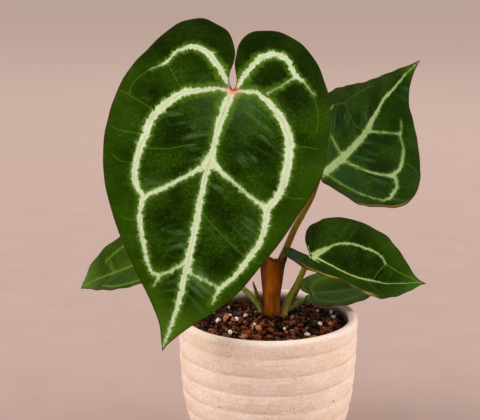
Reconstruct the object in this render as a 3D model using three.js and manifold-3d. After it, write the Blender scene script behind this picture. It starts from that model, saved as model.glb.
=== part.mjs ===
// A potted crystal anthurium: five heart-shaped leaves on slender stalks, a short crown with its roots,
// a bark mix and a banded stoneware pot. Millimetres, +Z up, origin at the centre of the pot's foot.
import * as THREE from "three";
import { mergeVertices } from "three/addons/utils/BufferGeometryUtils.js";
import Module from "manifold-3d";

// Driving dimensions
const GAP = 0.3; // clearance between pieces that touch

const POT_HEIGHT = 90;
const POT_FLOOR = 8;
const POT_WALL = 5.4;
const POT_FOOT_RADIUS = 35;
const POT_LIP_RADIUS = 54.4;
const POT_LIP_DEPTH = 4;
const BAND_PITCH = 11.3;
const FIRST_VALLEY = 80; // height of the highest groove between two bands
const BAND_DEPTH = 0.75;
const POT_SEGMENTS = 48;

const CROWN_X = 3;
const CROWN_Y = 8.5;
const CROWN_TOP = 86;
const CROWN_RADIUS = 7;
const CROWN_DEPTH = 26;
const ROOT_COUNT = 6;
const ROOT_RADIUS = 1.9;
const ROOT_LENGTH = 46;

const SOIL_EDGE = 83; // height of the mix at the pot's wall
const SOIL_MOUND = 5; // how much higher it lies at the crown
const MOUND_SPREAD = 21;
const CHIP_COUNT = 44;
const GRAIN_COUNT = 14;

const BLADE_THICKNESS = 0.8;
const RIB_DEPTH = 0.7; // the midrib stands this much proud of the underside, at the stalk
const RIB_RADIUS = 1.6;
const SEAT = 2.5; // from the notch of a blade to the middle of the stalk's end
const VALLEY_RADIUS = 1.5; // rounding of the fold along a midrib
const COLUMN_CROWDING = 1.15; // above 1, the columns of a blade lie closer together at its midrib
const SIDE_VEIN_RISE = 0.45; // how far a row of a blade leans towards the tip, per mm out
const LOBE_SWING = 1; // how far the rows beside a notch are turned out of it at the stalk, in radians

// Each blade: its place, then the shape of its two halves. Headings are counter-clockwise from +X, the
// drop is below the horizontal, and the roll turns the blade about its midrib. Fold is the rise of a half
// from the midrib, cup its curvature per mm, curl the upward curvature of its lobe per mm, and bow that
// of the midrib. Outlines run from the notch round the lobe to the tip, as shares of the midrib's length:
// out from the midrib, then along it.
const BLADES = [
  {
    name: "front",
    attach: [-21, -10, 227.3], heading: -125, drop: 63.8, roll: -36.4,
    length: 154.5, bow: -0.0012, sway: 0, ripple: 1.3, rippleLength: 38, rows: 33, columns: 8,
    halves: [
      {
        fold: 0.09, cup: -0.0035, curl: -0.002,
        outline: [
          [0, 0], [0.024, -0.045], [0.0245, -0.102], [0.028, -0.142],
          [0.047, -0.185], [0.079, -0.221], [0.125, -0.237], [0.185, -0.242], [0.243, -0.214],
          [0.29, -0.164], [0.34, -0.083], [0.385, 0.01], [0.409, 0.1], [0.418, 0.185],
          [0.412, 0.29], [0.395, 0.371], [0.362, 0.466], [0.304, 0.568], [0.234, 0.669],
          [0.158, 0.758], [0.09, 0.835], [0.038, 0.905], [0.013, 0.965], [0, 1],
        ],
      },
      {
        fold: 0.07, cup: -0.0035, curl: -0.002,
        outline: [
          [0, 0], [0.003, -0.045], [-0.019, -0.1], [-0.023, -0.138],
          [-0.024, -0.178], [-0.01, -0.22], [0.023, -0.253], [0.077, -0.27], [0.134, -0.273],
          [0.19, -0.257], [0.24, -0.228], [0.28, -0.192], [0.32, -0.14], [0.352, -0.083],
          [0.376, -0.01], [0.393, 0.09], [0.404, 0.186], [0.389, 0.28], [0.352, 0.392],
          [0.313, 0.505], [0.264, 0.614], [0.21, 0.728], [0.148, 0.812], [0.083, 0.88],
          [0.04, 0.932], [0.012, 0.972], [0, 1],
        ],
      },
    ],
    stalk: {
      baseRadius: 2.7, tipRadius: 2.2,
      route: [[1.5, 5.6, 82], [1.2, 5.4, 95], [0.2, 5.6, 106], [-1.2, 6, 118], [-3.6, 6.6, 132],
        [-9, 7.5, 165], [-15, 5.5, 198]],
    },
  },
  {
    name: "rear",
    attach: [32.8, 18, 172.8], heading: 45, drop: -33, roll: 52,
    length: 117, bow: 0.0058, sway: 1, ripple: 0.7, rippleLength: 30, rows: 24, columns: 5,
    halves: [
      {
        fold: 0.16, cup: 0.002, curl: 0.066,
        outline: [
          [0, 0], [0.012, -0.045], [0.032, -0.095], [0.07, -0.14], [0.13, -0.16],
          [0.19, -0.145], [0.235, -0.1], [0.272, -0.04], [0.315, 0.015], [0.36, 0.05],
          [0.404, 0.096], [0.44, 0.16], [0.45, 0.237], [0.442, 0.307], [0.404, 0.421],
          [0.337, 0.518], [0.258, 0.613], [0.186, 0.685], [0.122, 0.74], [0.073, 0.802],
          [0.038, 0.87], [0.012, 0.94], [0, 1],
        ],
      },
      {
        fold: 0.8, cup: 0.004, curl: 0.03,
        outline: [
          [0, 0], [0.014, -0.05], [0.03, -0.11], [0.08, -0.185], [0.16, -0.215],
          [0.25, -0.195], [0.34, -0.13], [0.402, -0.03], [0.425, 0.08], [0.415, 0.19],
          [0.376, 0.31], [0.325, 0.43], [0.26, 0.54], [0.2, 0.655], [0.117, 0.805],
          [0.049, 0.917], [0.018, 0.965], [0, 1],
        ],
      },
    ],
    stalk: {
      baseRadius: 2.7, tipRadius: 1.8,
      route: [[4.6, 11, 82], [3.8, 10.6, 95], [4.6, 10, 106], [6.4, 9.4, 117], [11.6, 10.8, 129],
        [15.9, 13, 139], [21.8, 17, 149], [27.2, 20.5, 159]],
    },
  },
  {
    name: "right",
    attach: [25.7, -4, 126.8], heading: 24, drop: 18, roll: 62,
    length: 86, bow: 0.003, sway: 6, ripple: 0.5, rippleLength: 24, rows: 21, columns: 5,
    halves: [
      {
        fold: 0.6, cup: 0.021, curl: 0.004,
        outline: [
          [0, 0], [-0.003, -0.06], [-0.012, -0.13], [-0.018, -0.2], [-0.004, -0.245],
          [0.03, -0.268], [0.08, -0.272], [0.13, -0.258], [0.195, -0.225], [0.275, -0.165],
          [0.335, -0.065], [0.355, 0.07], [0.35, 0.19], [0.31, 0.33], [0.252, 0.475],
          [0.192, 0.632], [0.126, 0.788], [0.058, 0.9], [0.018, 0.965], [0, 1],
        ],
      },
      {
        fold: 0.5, cup: -0.006, curl: 0.035,
        outline: [
          [0, 0], [0.02, -0.026], [0.046, -0.056], [0.076, -0.092], [0.115, -0.146],
          [0.152, -0.166], [0.205, -0.124], [0.254, -0.041], [0.298, 0.051], [0.342, 0.158], [0.367, 0.27],
          [0.382, 0.39], [0.354, 0.541], [0.293, 0.642], [0.207, 0.744], [0.108, 0.838],
          [0.031, 0.925], [0, 1],
        ],
      },
    ],
    stalk: {
      baseRadius: 2.7, tipRadius: 1.7,
      route: [[9.2, 6.4, 81], [10.4, 7.2, 90], [13.4, 7.6, 98], [17.2, 7, 105], [20.8, 4.6, 114]],
    },
  },
  {
    name: "low",
    attach: [27.8, 18, 96.8], heading: 12, drop: -3, roll: 27,
    length: 47, bow: -0.004, sway: 1, ripple: 0.4, rippleLength: 16, rows: 17, columns: 4,
    halves: [
      {
        fold: 0.2, cup: 0.0, curl: 0.08,
        outline: [
          [0, 0], [0.015, -0.05], [0.04, -0.1], [0.09, -0.13], [0.16, -0.12], [0.23, -0.06],
          [0.29, 0.04], [0.33, 0.17], [0.345, 0.31], [0.33, 0.45], [0.28, 0.6], [0.2, 0.75],
          [0.11, 0.88], [0.035, 0.965], [0, 1],
        ],
      },
      {
        fold: 0.1, cup: 0.0, curl: 0.1,
        outline: [
          [0, 0], [0.015, -0.05], [0.04, -0.11], [0.1, -0.15], [0.18, -0.14], [0.26, -0.07],
          [0.32, 0.04], [0.35, 0.17], [0.355, 0.31], [0.33, 0.45], [0.275, 0.6], [0.195, 0.75],
          [0.105, 0.88], [0.035, 0.965], [0, 1],
        ],
      },
    ],
    stalk: {
      baseRadius: 1.7, tipRadius: 1.3,
      route: [[9.6, 14.6, 82], [11.6, 14, 87], [15.6, 14.2, 90], [22, 16.6, 92.6]],
    },
  },
  {
    name: "left",
    attach: [-56.7, 22, 120.2], heading: 158, drop: 23, roll: -43,
    length: 75.5, bow: -0.01, sway: -3, ripple: 0.6, rippleLength: 22, rows: 21, columns: 5,
    halves: [
      {
        fold: 0.3, cup: -0.008, curl: 0.01,
        outline: [
          [0, 0], [0.01, -0.05], [0.02, -0.11], [0.055, -0.19], [0.12, -0.232], [0.2, -0.215],
          [0.275, -0.145], [0.33, -0.04], [0.355, 0.08], [0.365, 0.2], [0.36, 0.33],
          [0.335, 0.47], [0.285, 0.61], [0.215, 0.75], [0.13, 0.87], [0.045, 0.955], [0, 1],
        ],
      },
      {
        fold: 0.25, cup: 0.01, curl: 0.01,
        outline: [
          [0, 0], [0.01, -0.05], [0.018, -0.11], [0.05, -0.19], [0.115, -0.228], [0.19, -0.21],
          [0.26, -0.14], [0.305, -0.04], [0.325, 0.08], [0.325, 0.2], [0.305, 0.33],
          [0.26, 0.47], [0.2, 0.61], [0.13, 0.76], [0.065, 0.87], [0.02, 0.96], [0, 1],
        ],
      },
    ],
    stalk: {
      baseRadius: 1.9, tipRadius: 1.6,
      route: [[-2.8, 11, 81], [-4.2, 10.8, 89], [-7.8, 10.9, 95], [-14.5, 12.6, 101.5],
        [-28, 17.5, 109.5], [-43, 23, 114.8]],
    },
  },
];

// The swollen joint of a stalk under its blade and the narrower end in the mix, as shares of the stalk
const KNEE = { at: 0.95, spread: 0.05, swell: 0.14 };
const FOOT_END = { spread: 0.12, narrowing: 0.08 };

// The dry papery sheath round the two tall stalks: height, centre and half widths of its sections
const SHEATH_SECTIONS = [
  { z: 86.4, x: 3, y: 8.6, a: 5.6, b: 6.4 },
  { z: 95, x: 2.5, y: 8.1, a: 4.9, b: 6.6 },
  { z: 106, x: 2.5, y: 7.8, a: 6.2, b: 6.3 },
  { z: 117, x: 2.7, y: 7.6, a: 7.4, b: 5.9 },
  { z: 124, x: 3.4, y: 7.9, a: 8.4, b: 5.3 },
];
const SHEATH_NOTCH = 2.6; // depth of the fork between the two stalks
const SHEATH_SLANT = 3.4; // rise of its rim towards the front leaf's stalk
const SHEATH_SEGMENTS = 20;

// Small dried scales beside the stalks
const SCALES = [
  { name: "scale_left", base: [-3.6, 13.4, 85], tip: [-9.2, 11.5, 107], width: 2.6, turn: 20 },
  { name: "scale_right", base: [12.6, 16.4, 85], tip: [20.6, 13.2, 104], width: 2.6, turn: -30 },
];
const SCALE_THICKNESS = 0.8;

// Finishes
const finish = (color, roughness) => new THREE.MeshStandardMaterial({ color, roughness, metalness: 0 });
const STONEWARE = finish(0xe6cdb9, 0.6);
const BARK_MIX = finish(0x3a2015, 0.95);
const CROWN_SKIN = finish(0x5e3a22, 0.8);
const DRY_SHEATH = finish(0x7a3a12, 0.7);
const STALK_GREEN = finish(0x7c7030, 0.5);
const STALK_BROWN = finish(0x7c5420, 0.5);
const LEAF_GREEN = finish(0x2b450a, 0.45);

const wasm = await Module();
wasm.setup();
const UP = new THREE.Vector3(0, 0, 1);
const rad = THREE.MathUtils.degToRad;
const vector = (p) => new THREE.Vector3(...p);

// A closed three.js geometry as a solid, with doubled points merged and empty triangles dropped.
function toSolid(geometry) {
  const bare = geometry.clone();
  bare.deleteAttribute("normal");
  bare.deleteAttribute("uv");
  const merged = mergeVertices(bare, 1e-4);
  const index = [];
  for (let i = 0; i < merged.index.count; i += 3) {
    const [a, b, c] = [0, 1, 2].map((k) => merged.index.getX(i + k));
    if (a !== b && b !== c && c !== a) index.push(a, b, c);
  }
  return new wasm.Manifold(new wasm.Mesh({
    numProp: 3,
    vertProperties: merged.attributes.position.array,
    triVerts: new Uint32Array(index),
  }));
}

// The largest body of a solid, as a geometry.
function toGeometry(solid) {
  const body = solid.decompose().sort((a, b) => b.volume() - a.volume())[0];
  const mesh = body.getMesh();
  const geometry = new THREE.BufferGeometry();
  const positions = Float32Array.from(mesh.vertProperties);
  geometry.setAttribute("position", new THREE.BufferAttribute(positions, 3));
  geometry.setIndex(new THREE.BufferAttribute(Uint32Array.from(mesh.triVerts), 1));
  geometry.computeVertexNormals();
  return geometry;
}

function geometryOf(points, index) {
  const geometry = new THREE.BufferGeometry();
  geometry.setAttribute("position", new THREE.Float32BufferAttribute(points.flat(), 3));
  geometry.setIndex(index);
  return geometry;
}

const group = new THREE.Group();
function addMesh(name, solid, material) {
  const mesh = new THREE.Mesh(toGeometry(solid), material);
  mesh.name = name;
  group.add(mesh);
}

// The same numbers every time, for the scattered pieces.
function seeded(seed) {
  let state = seed;
  return () => {
    state = (state * 1664525 + 1013904223) % 4294967296;
    return state / 4294967296;
  };
}

// Rings of points, each of the same count and counter-clockwise about the way they run, closed at both
// ends by a middle point.
function loft(rings, startCentre, endCentre) {
  const count = rings[0].length;
  const points = [...rings.flat(), startCentre, endCentre];
  const start = rings.length * count;
  const index = [];
  for (let i = 0; i < count; i++) {
    const j = (i + 1) % count;
    for (let k = 0; k + 1 < rings.length; k++) {
      const a = k * count;
      const b = a + count;
      index.push(a + i, a + j, b + j, a + i, b + j, b + i);
    }
    const last = (rings.length - 1) * count;
    index.push(start, j, i, start + 1, last + i, last + j);
  }
  return geometryOf(points, index);
}

// A round stalk or root along a route, with its radius given along it from 0 to 1.
function taperedTube(route, radiusAt, sides, steps) {
  const curve = new THREE.CatmullRomCurve3(route, false, "centripetal");
  const frames = curve.computeFrenetFrames(steps, false);
  const rings = [];
  for (let i = 0; i <= steps; i++) {
    const centre = curve.getPointAt(i / steps);
    const ring = [];
    for (let k = 0; k < sides; k++) {
      const turn = (2 * Math.PI * k) / sides;
      ring.push(centre.clone()
        .addScaledVector(frames.normals[i], Math.cos(turn) * radiusAt(i / steps))
        .addScaledVector(frames.binormals[i], Math.sin(turn) * radiusAt(i / steps))
        .toArray());
    }
    rings.push(ring);
  }
  return loft(rings, curve.getPointAt(0).toArray(), curve.getPointAt(1).toArray());
}

// Pot
const bodyCurve = new THREE.SplineCurve([
  [POT_FOOT_RADIUS + 4, 2.2], [43, 9], [48.3, 24], [52, 41], [53.6, 60], [54.3, 77], [POT_LIP_RADIUS, 86],
].map(([r, z]) => new THREE.Vector2(r, z)));

function bodyRadius(z) {
  let low = 0;
  let high = 1;
  for (let i = 0; i < 24; i++) {
    const middle = (low + high) / 2;
    if (bodyCurve.getPoint(middle).y < z) low = middle;
    else high = middle;
  }
  return bodyCurve.getPoint(low).x;
}

function bandOffset(z) {
  const wave = Math.abs(Math.sin((Math.PI * (FIRST_VALLEY - z)) / BAND_PITCH));
  return -BAND_DEPTH * (1 - wave) ** 1.5;
}

function innerProfile(clearance) {
  const points = [];
  for (const z of [84, 70, 55, 40, 26, 15]) {
    points.push([bodyRadius(z) - POT_WALL - clearance, z]);
  }
  points.push([33 - clearance, POT_FLOOR + 1.6 + 0.5 * clearance], [28, POT_FLOOR + clearance]);
  return points;
}

function potSolid() {
  const outer = [[0, 0], [POT_FOOT_RADIUS, 0], [POT_FOOT_RADIUS + 2.8, 0.9]];
  const lowestValley = FIRST_VALLEY - 7 * BAND_PITCH;
  const shares = [0, 0.22, 0.78];
  for (let band = 0; band < 7; band++) {
    for (const share of shares) {
      const z = lowestValley + (band + share) * BAND_PITCH;
      if (z > 2.5) outer.push([bodyRadius(z) + bandOffset(z), z]);
    }
  }
  outer.push([bodyRadius(FIRST_VALLEY) - BAND_DEPTH, FIRST_VALLEY]);
  outer.push([bodyRadius(82) + bandOffset(82), 82], [POT_LIP_RADIUS, 85]);
  const lipTop = POT_HEIGHT - POT_LIP_DEPTH + 1.2;
  const middle = POT_LIP_RADIUS - POT_WALL / 2;
  for (let i = 0; i <= 6; i++) {
    const turn = (Math.PI * i) / 6;
    outer.push([
      middle + (POT_WALL / 2) * Math.cos(turn),
      lipTop + (POT_HEIGHT - lipTop) * Math.sin(turn),
    ]);
  }
  const profile = [...outer, ...innerProfile(0), [0, POT_FLOOR]].map(([r, z]) => new THREE.Vector2(r, z));
  return toSolid(new THREE.LatheGeometry(profile, POT_SEGMENTS).rotateX(Math.PI / 2));
}

// Blades
function bladeFrame(blade) {
  const heading = rad(blade.heading);
  const drop = rad(blade.drop);
  const along = new THREE.Vector3(
    Math.cos(heading) * Math.cos(drop), Math.sin(heading) * Math.cos(drop), -Math.sin(drop));
  const level = new THREE.Vector3(
    Math.cos(heading) * Math.sin(drop), Math.sin(heading) * Math.sin(drop), Math.cos(drop));
  const face = level.clone().applyAxisAngle(along, rad(blade.roll));
  const across = new THREE.Vector3().crossVectors(along, face);
  return { across, along, face };
}

// The middle surface of a blade at x out from the midrib and y along it, on half 0 or 1.
function bladePoint(blade, side, x, y) {
  const half = blade.halves[side];
  const bend = (y < 0 ? half.curl : blade.bow) || 1e-5;
  const turn = bend * y;
  const cup = half.cup || 1e-5;
  const raised = Math.hypot(x, VALLEY_RADIUS) - VALLEY_RADIUS;
  const out = (Math.sin(half.fold + cup * x) - Math.sin(half.fold)) / cup;
  const share = Math.min(Math.abs(x) / (0.4 * blade.length), 1.2);
  const wave = Math.sin((2 * Math.PI * y) / blade.rippleLength + 1.3 * side);
  const rise = (Math.cos(half.fold) - Math.cos(half.fold + cup * raised)) / cup
    + blade.ripple * share ** 3 * wave;
  const along = THREE.MathUtils.clamp(y / blade.length, 0, 1);
  const swing = (blade.sway * (1 - Math.cos(2 * Math.PI * along))) / 2;
  const chord = 0.5 * blade.bow * blade.length;
  const forward = Math.sin(turn) / bend - Math.sin(turn) * rise;
  const up = (1 - Math.cos(turn)) / bend + Math.cos(turn) * rise;
  const { across, along: ahead, face } = bladeFrame(blade);
  return vector(blade.attach)
    .addScaledVector(across, (side === 0 ? 1 : -1) * out + swing)
    .addScaledVector(ahead, forward * Math.cos(chord) + up * Math.sin(chord))
    .addScaledVector(face, up * Math.cos(chord) - forward * Math.sin(chord));
}

function bladeNormal(blade, side, x, y) {
  const step = 0.05;
  const acrossWay = bladePoint(blade, side, x + step, y).sub(bladePoint(blade, side, x - step, y));
  const behind = y < 0 ? y - step : Math.max(y - step, 0);
  const alongWay = bladePoint(blade, side, x, y + step).sub(bladePoint(blade, side, x, behind));
  const normal = acrossWay.cross(alongWay).normalize();
  return side === 0 ? normal : normal.negate();
}

function bladeSolid(blade) {
  const { rows, columns, length } = blade;
  const edges = blade.halves.map((half) => {
    const curve = new THREE.SplineCurve(half.outline.map(([x, y]) => new THREE.Vector2(x, y)));
    return Array.from({ length: rows + 1 }, (_, i) => curve.getPoint(i / rows).multiplyScalar(length));
  });
  // Where a row leaves the midrib: at the stalk for the lobes, then ever nearer to the tip.
  const startOf = ({ x, y }) => (y > 0
    ? Math.max(0, (y + 0.02 * length) / 1.02 - SIDE_VEIN_RISE * Math.max(x, 0)) : 0);
  // How far each row into a lobe is turned as it leaves the stalk: out of the notch, and never back past
  // the row before it.
  const swings = edges.map((edge) => {
    let furthest = 0;
    return edge.map(({ x, y }) => {
      if (y >= 0) return 0;
      const heading = Math.atan2(x, -y);
      const swung = heading + LOBE_SWING * (1 - THREE.MathUtils.smoothstep(heading, 0.2, 1.5));
      furthest = Math.max(furthest + 0.01, swung);
      return furthest - heading;
    });
  });
  const points = [];
  const index = [];
  const put = (side, x, y) => {
    const centre = bladePoint(blade, side, x, y);
    const normal = bladeNormal(blade, side, x, y);
    const lessening = y < 0 ? Math.max(0, 1 + y / (3 * RIB_RADIUS)) : 1 - (0.8 * y) / length;
    const rib = RIB_DEPTH * Math.exp(-((x / RIB_RADIUS) ** 2)) * lessening;
    points.push(centre.clone().addScaledVector(normal, BLADE_THICKNESS / 2).toArray());
    points.push(centre.addScaledVector(normal, -BLADE_THICKNESS / 2 - rib).toArray());
  };
  [0, 1].forEach((side) => {
    const first = points.length / 2;
    for (let i = 0; i <= rows; i++) {
      const edge = edges[side][i];
      const start = (startOf(edges[0][i]) + startOf(edges[1][i])) / 2;
      for (let j = 0; j <= columns; j++) {
        const share = (j / columns) ** COLUMN_CROWDING;
        const out = share * edge.x;
        const forth = start + share * (edge.y - start);
        const turn = start === 0 ? swings[side][i] * (1 - share) : 0;
        put(side, out * Math.cos(turn) - forth * Math.sin(turn),
          forth * Math.cos(turn) + out * Math.sin(turn));
      }
    }
    const quad = (a, b, c, d) => {
      const [p, q] = side === 0 ? [b, d] : [d, b];
      index.push(a, p, c, a, c, q);
    };
    const top = (i, j) => 2 * (first + i * (columns + 1) + j);
    const under = (i, j) => top(i, j) + 1;
    for (let i = 0; i < rows; i++) {
      for (let j = 0; j < columns; j++) {
        quad(top(i, j), top(i, j + 1), top(i + 1, j + 1), top(i + 1, j));
        const [a, b, c, d] = [under(i, j), under(i, j + 1), under(i + 1, j + 1), under(i + 1, j)];
        const [p, q] = side === 0 ? [b, d] : [d, b];
        index.push(a, c, p, a, q, c);
      }
      quad(top(i, columns), under(i, columns), under(i + 1, columns), top(i + 1, columns));
    }
  });
  return toSolid(geometryOf(points, index));
}

// Stalks
function stalkRoute(blade) {
  const centre = bladePoint(blade, 0, 0, SEAT);
  const normal = bladeNormal(blade, 0, 0, SEAT);
  const depth = BLADE_THICKNESS / 2 + RIB_DEPTH + GAP;
  const end = centre.clone().addScaledVector(normal, -depth);
  const before = centre.clone().addScaledVector(normal, -depth - 2.4 * blade.stalk.tipRadius);
  return [...blade.stalk.route.map(vector), before, end];
}

function stalkRadius(stalk, share) {
  const knee = Math.exp(-(((share - KNEE.at) / KNEE.spread) ** 2));
  const foot = Math.exp(-((share / FOOT_END.spread) ** 2));
  return THREE.MathUtils.lerp(stalk.baseRadius, stalk.tipRadius, Math.sqrt(share))
    * (1 + KNEE.swell * knee - FOOT_END.narrowing * foot);
}

function stalkSolid(blade, clearance) {
  const radiusAt = (share) => stalkRadius(blade.stalk, share) + clearance;
  const route = stalkRoute(blade);
  if (clearance > 0) {
    const downwards = route[0].clone().sub(route[1]).normalize();
    route[0].addScaledVector(downwards, clearance);
  }
  const steps = blade.stalk.baseRadius > 2.5 ? 22 : 16;
  return toSolid(taperedTube(route, radiusAt, 8, steps));
}

// Crown and roots
function crownBody(clearance) {
  const profile = [[0, CROWN_TOP - CROWN_DEPTH - clearance]];
  const levels = 9;
  for (let i = 0; i <= levels; i++) {
    const share = i / levels;
    const ring = i % 2 === 0 ? 0 : 0.5; // scars of old leaves
    const shape = CROWN_RADIUS * (0.66 + 0.34 * Math.sin(Math.PI * Math.min(0.15 + 0.75 * share, 0.62)));
    profile.push([shape - ring + clearance, CROWN_TOP - CROWN_DEPTH + 1 + (CROWN_DEPTH - 2) * share]);
  }
  profile.push([CROWN_RADIUS * 0.7 + clearance, CROWN_TOP + clearance], [0, CROWN_TOP + clearance]);
  const geometry = new THREE.LatheGeometry(profile.map(([r, z]) => new THREE.Vector2(r, z)), 20);
  return toSolid(geometry.rotateX(Math.PI / 2).translate(CROWN_X, CROWN_Y, 0));
}

function rootSolid(number, clearance) {
  const random = seeded(11 + number);
  const heading = (2 * Math.PI * (number + 0.35 * random())) / ROOT_COUNT;
  const fall = 0.45 + 0.5 * random();
  const length = ROOT_LENGTH * (0.8 + 0.3 * random());
  const startHeight = CROWN_TOP - CROWN_DEPTH * (0.35 + 0.5 * random());
  const route = [];
  for (let i = 0; i <= 4; i++) {
    const share = i / 4;
    const reach = Math.min(2 + 0.72 * length * share ** 0.8, 33);
    const turn = heading + 0.5 * share * (random() - 0.5);
    route.push(new THREE.Vector3(
      CROWN_X * (1 - 0.6 * share) + reach * Math.cos(turn),
      CROWN_Y * (1 - 0.8 * share) + reach * Math.sin(turn),
      startHeight - fall * length * share ** 1.6));
  }
  const radiusAt = (share) => ROOT_RADIUS * (1 - 0.55 * share) + clearance;
  return toSolid(taperedTube(route, radiusAt, 5, 7));
}

// Sheath
function sheathSolid(clearance) {
  const last = SHEATH_SECTIONS.length - 1;
  const rings = SHEATH_SECTIONS.map((section, level) => {
    const ring = [];
    for (let i = 0; i < SHEATH_SEGMENTS; i++) {
      const turn = (2 * Math.PI * i) / SHEATH_SEGMENTS;
      const rim = SHEATH_NOTCH * Math.cos(2 * turn) - SHEATH_SLANT * Math.cos(turn);
      ring.push([
        section.x + (section.a + clearance) * Math.cos(turn),
        section.y + (section.b + clearance) * Math.sin(turn),
        section.z + (level === last ? rim : 0),
      ]);
    }
    return ring;
  });
  const top = SHEATH_SECTIONS[last];
  const foot = SHEATH_SECTIONS[0];
  for (const point of rings[0]) point[2] -= clearance;
  const middle = [top.x, top.y, top.z - SHEATH_NOTCH];
  return toSolid(loft(rings, [foot.x, foot.y, foot.z - clearance], middle));
}

// Dried scales: a narrow pointed blade that curves in at its tip
function scaleSolid({ base, tip, width, turn }, clearance) {
  const start = vector(base);
  const end = vector(tip);
  const side = new THREE.Vector3(Math.cos(rad(turn)), Math.sin(rad(turn)), 0);
  const out = new THREE.Vector3().crossVectors(side, UP);
  const rings = [];
  const levels = 7;
  for (let i = 0; i <= levels; i++) {
    const share = i / levels;
    const centre = start.clone().lerp(end, share).addScaledVector(out, 1.6 * Math.sin(Math.PI * share));
    const half = (width / 2) * Math.sqrt(1 - share ** 2) + 0.35 + clearance;
    const thick = SCALE_THICKNESS / 2 + clearance;
    rings.push([[1, 0], [0.5, 1], [-0.5, 1], [-1, 0], [-0.5, -1], [0.5, -1]].map(([u, v]) =>
      centre.clone().addScaledVector(side, u * half).addScaledVector(out, -v * thick).toArray()));
  }
  return toSolid(loft(rings, start.toArray(), end.clone().addScaledVector(UP, 0.6).toArray()));
}

// Soil: a mound with bark chips and white grains set into it
function soilHeight(x, y) {
  const away = Math.hypot(x - CROWN_X, y - CROWN_Y);
  const mound = SOIL_MOUND * Math.exp(-((away / MOUND_SPREAD) ** 2));
  const clods = 0.5 * Math.sin(x / 3.1 + 1) * Math.cos(y / 2.7) + 0.35 * Math.sin(x / 1.7 + y / 2.3);
  return SOIL_EDGE + mound + clods;
}

function groundSolid() {
  const count = 34;
  const circle = (radius, heightAt) => {
    const ring = [];
    for (let i = 0; i < count; i++) {
      const turn = (2 * Math.PI * i) / count;
      const x = radius * Math.cos(turn);
      const y = radius * Math.sin(turn);
      ring.push([x, y, heightAt(x, y)]);
    }
    return ring;
  };
  const wall = innerProfile(GAP).reverse();
  const rings = wall.map(([radius, z]) => circle(radius, () => z));
  const edge = wall[wall.length - 1][0];
  for (let radius = edge - 4; radius > 3; radius -= 6.2) rings.push(circle(radius, soilHeight));
  rings[wall.length - 1] = circle(edge, (x, y) => Math.min(soilHeight(x, y), 84));
  return toSolid(loft(rings, [0, 0, POT_FLOOR + GAP], [0, 0, soilHeight(0, 0)]));
}

function scatter(count, seed, keepOff, reach, make) {
  const random = seeded(seed);
  const made = [];
  while (made.length < count) {
    const radius = reach * Math.sqrt(random());
    const turn = 2 * Math.PI * random();
    const x = radius * Math.cos(turn);
    const y = radius * Math.sin(turn);
    if (Math.hypot(x - CROWN_X, y - CROWN_Y) < keepOff) continue;
    const geometry = make(random);
    geometry.rotateZ(2 * Math.PI * random());
    made.push(toSolid(geometry.translate(x, y, soilHeight(x, y))));
  }
  return made;
}

function chip(random) {
  const size = 3.2 + 2.6 * random();
  const geometry = new THREE.BoxGeometry(size, size * (0.5 + 0.3 * random()), 2.6 + 0.8 * random());
  return geometry.rotateX(0.9 * (random() - 0.5)).rotateY(0.9 * (random() - 0.5)).translate(0, 0, 0.1);
}

function grain(random) {
  const geometry = new THREE.OctahedronGeometry(1.5 + 0.5 * random());
  return geometry.rotateX(random()).scale(1, 0.85, 0.8).translate(0, 0, 0.5);
}

// Assembly
const stalks = BLADES.map((blade) => stalkSolid(blade, 0));
const stalkHoles = wasm.Manifold.union(BLADES.map((blade) => stalkSolid(blade, GAP)));
const roots = [];
const rootHoles = [];
for (let number = 0; number < ROOT_COUNT; number++) {
  roots.push(rootSolid(number, 0));
  rootHoles.push(rootSolid(number, GAP));
}

addMesh("pot", potSolid(), STONEWARE);

const crown = wasm.Manifold.union([crownBody(0), ...roots]).subtract(stalkHoles);
addMesh("crown_and_roots", crown, CROWN_SKIN);

const sheath = sheathSolid(0).subtract(stalkHoles).subtract(crownBody(GAP));
addMesh("sheath", sheath, DRY_SHEATH);

const scaleHoles = [];
for (const scale of SCALES) {
  addMesh(scale.name, scaleSolid(scale, 0).subtract(stalkHoles), DRY_SHEATH);
  scaleHoles.push(scaleSolid(scale, GAP));
}

const bedding = wasm.Manifold.union([
  groundSolid(),
  ...scatter(CHIP_COUNT, 5, 10.5, 44, chip),
  ...scatter(GRAIN_COUNT, 9, 12, 43, grain),
]);
const planted = wasm.Manifold.union([
  stalkHoles, crownBody(GAP), sheathSolid(GAP), ...rootHoles, ...scaleHoles,
]);
addMesh("soil", bedding.subtract(planted), BARK_MIX);

BLADES.forEach((blade, number) => {
  addMesh(`stalk_${blade.name}`, stalks[number], number === 1 ? STALK_BROWN : STALK_GREEN);
  addMesh(`leaf_${blade.name}`, bladeSolid(blade), LEAF_GREEN);
});

export default group;
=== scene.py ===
"""A potted crystal anthurium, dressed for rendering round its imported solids.

Sizes are in millimetres inside the classes and become metres when a mesh is made. The plant stands in a
banded stoneware pot on a pale floor, and each leaf, stalk, sheath, scale and scoop of mix is one piece.
"""

import logging
import math
from dataclasses import dataclass
from enum import Enum
from typing import Iterable, Mapping, Sequence

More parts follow.
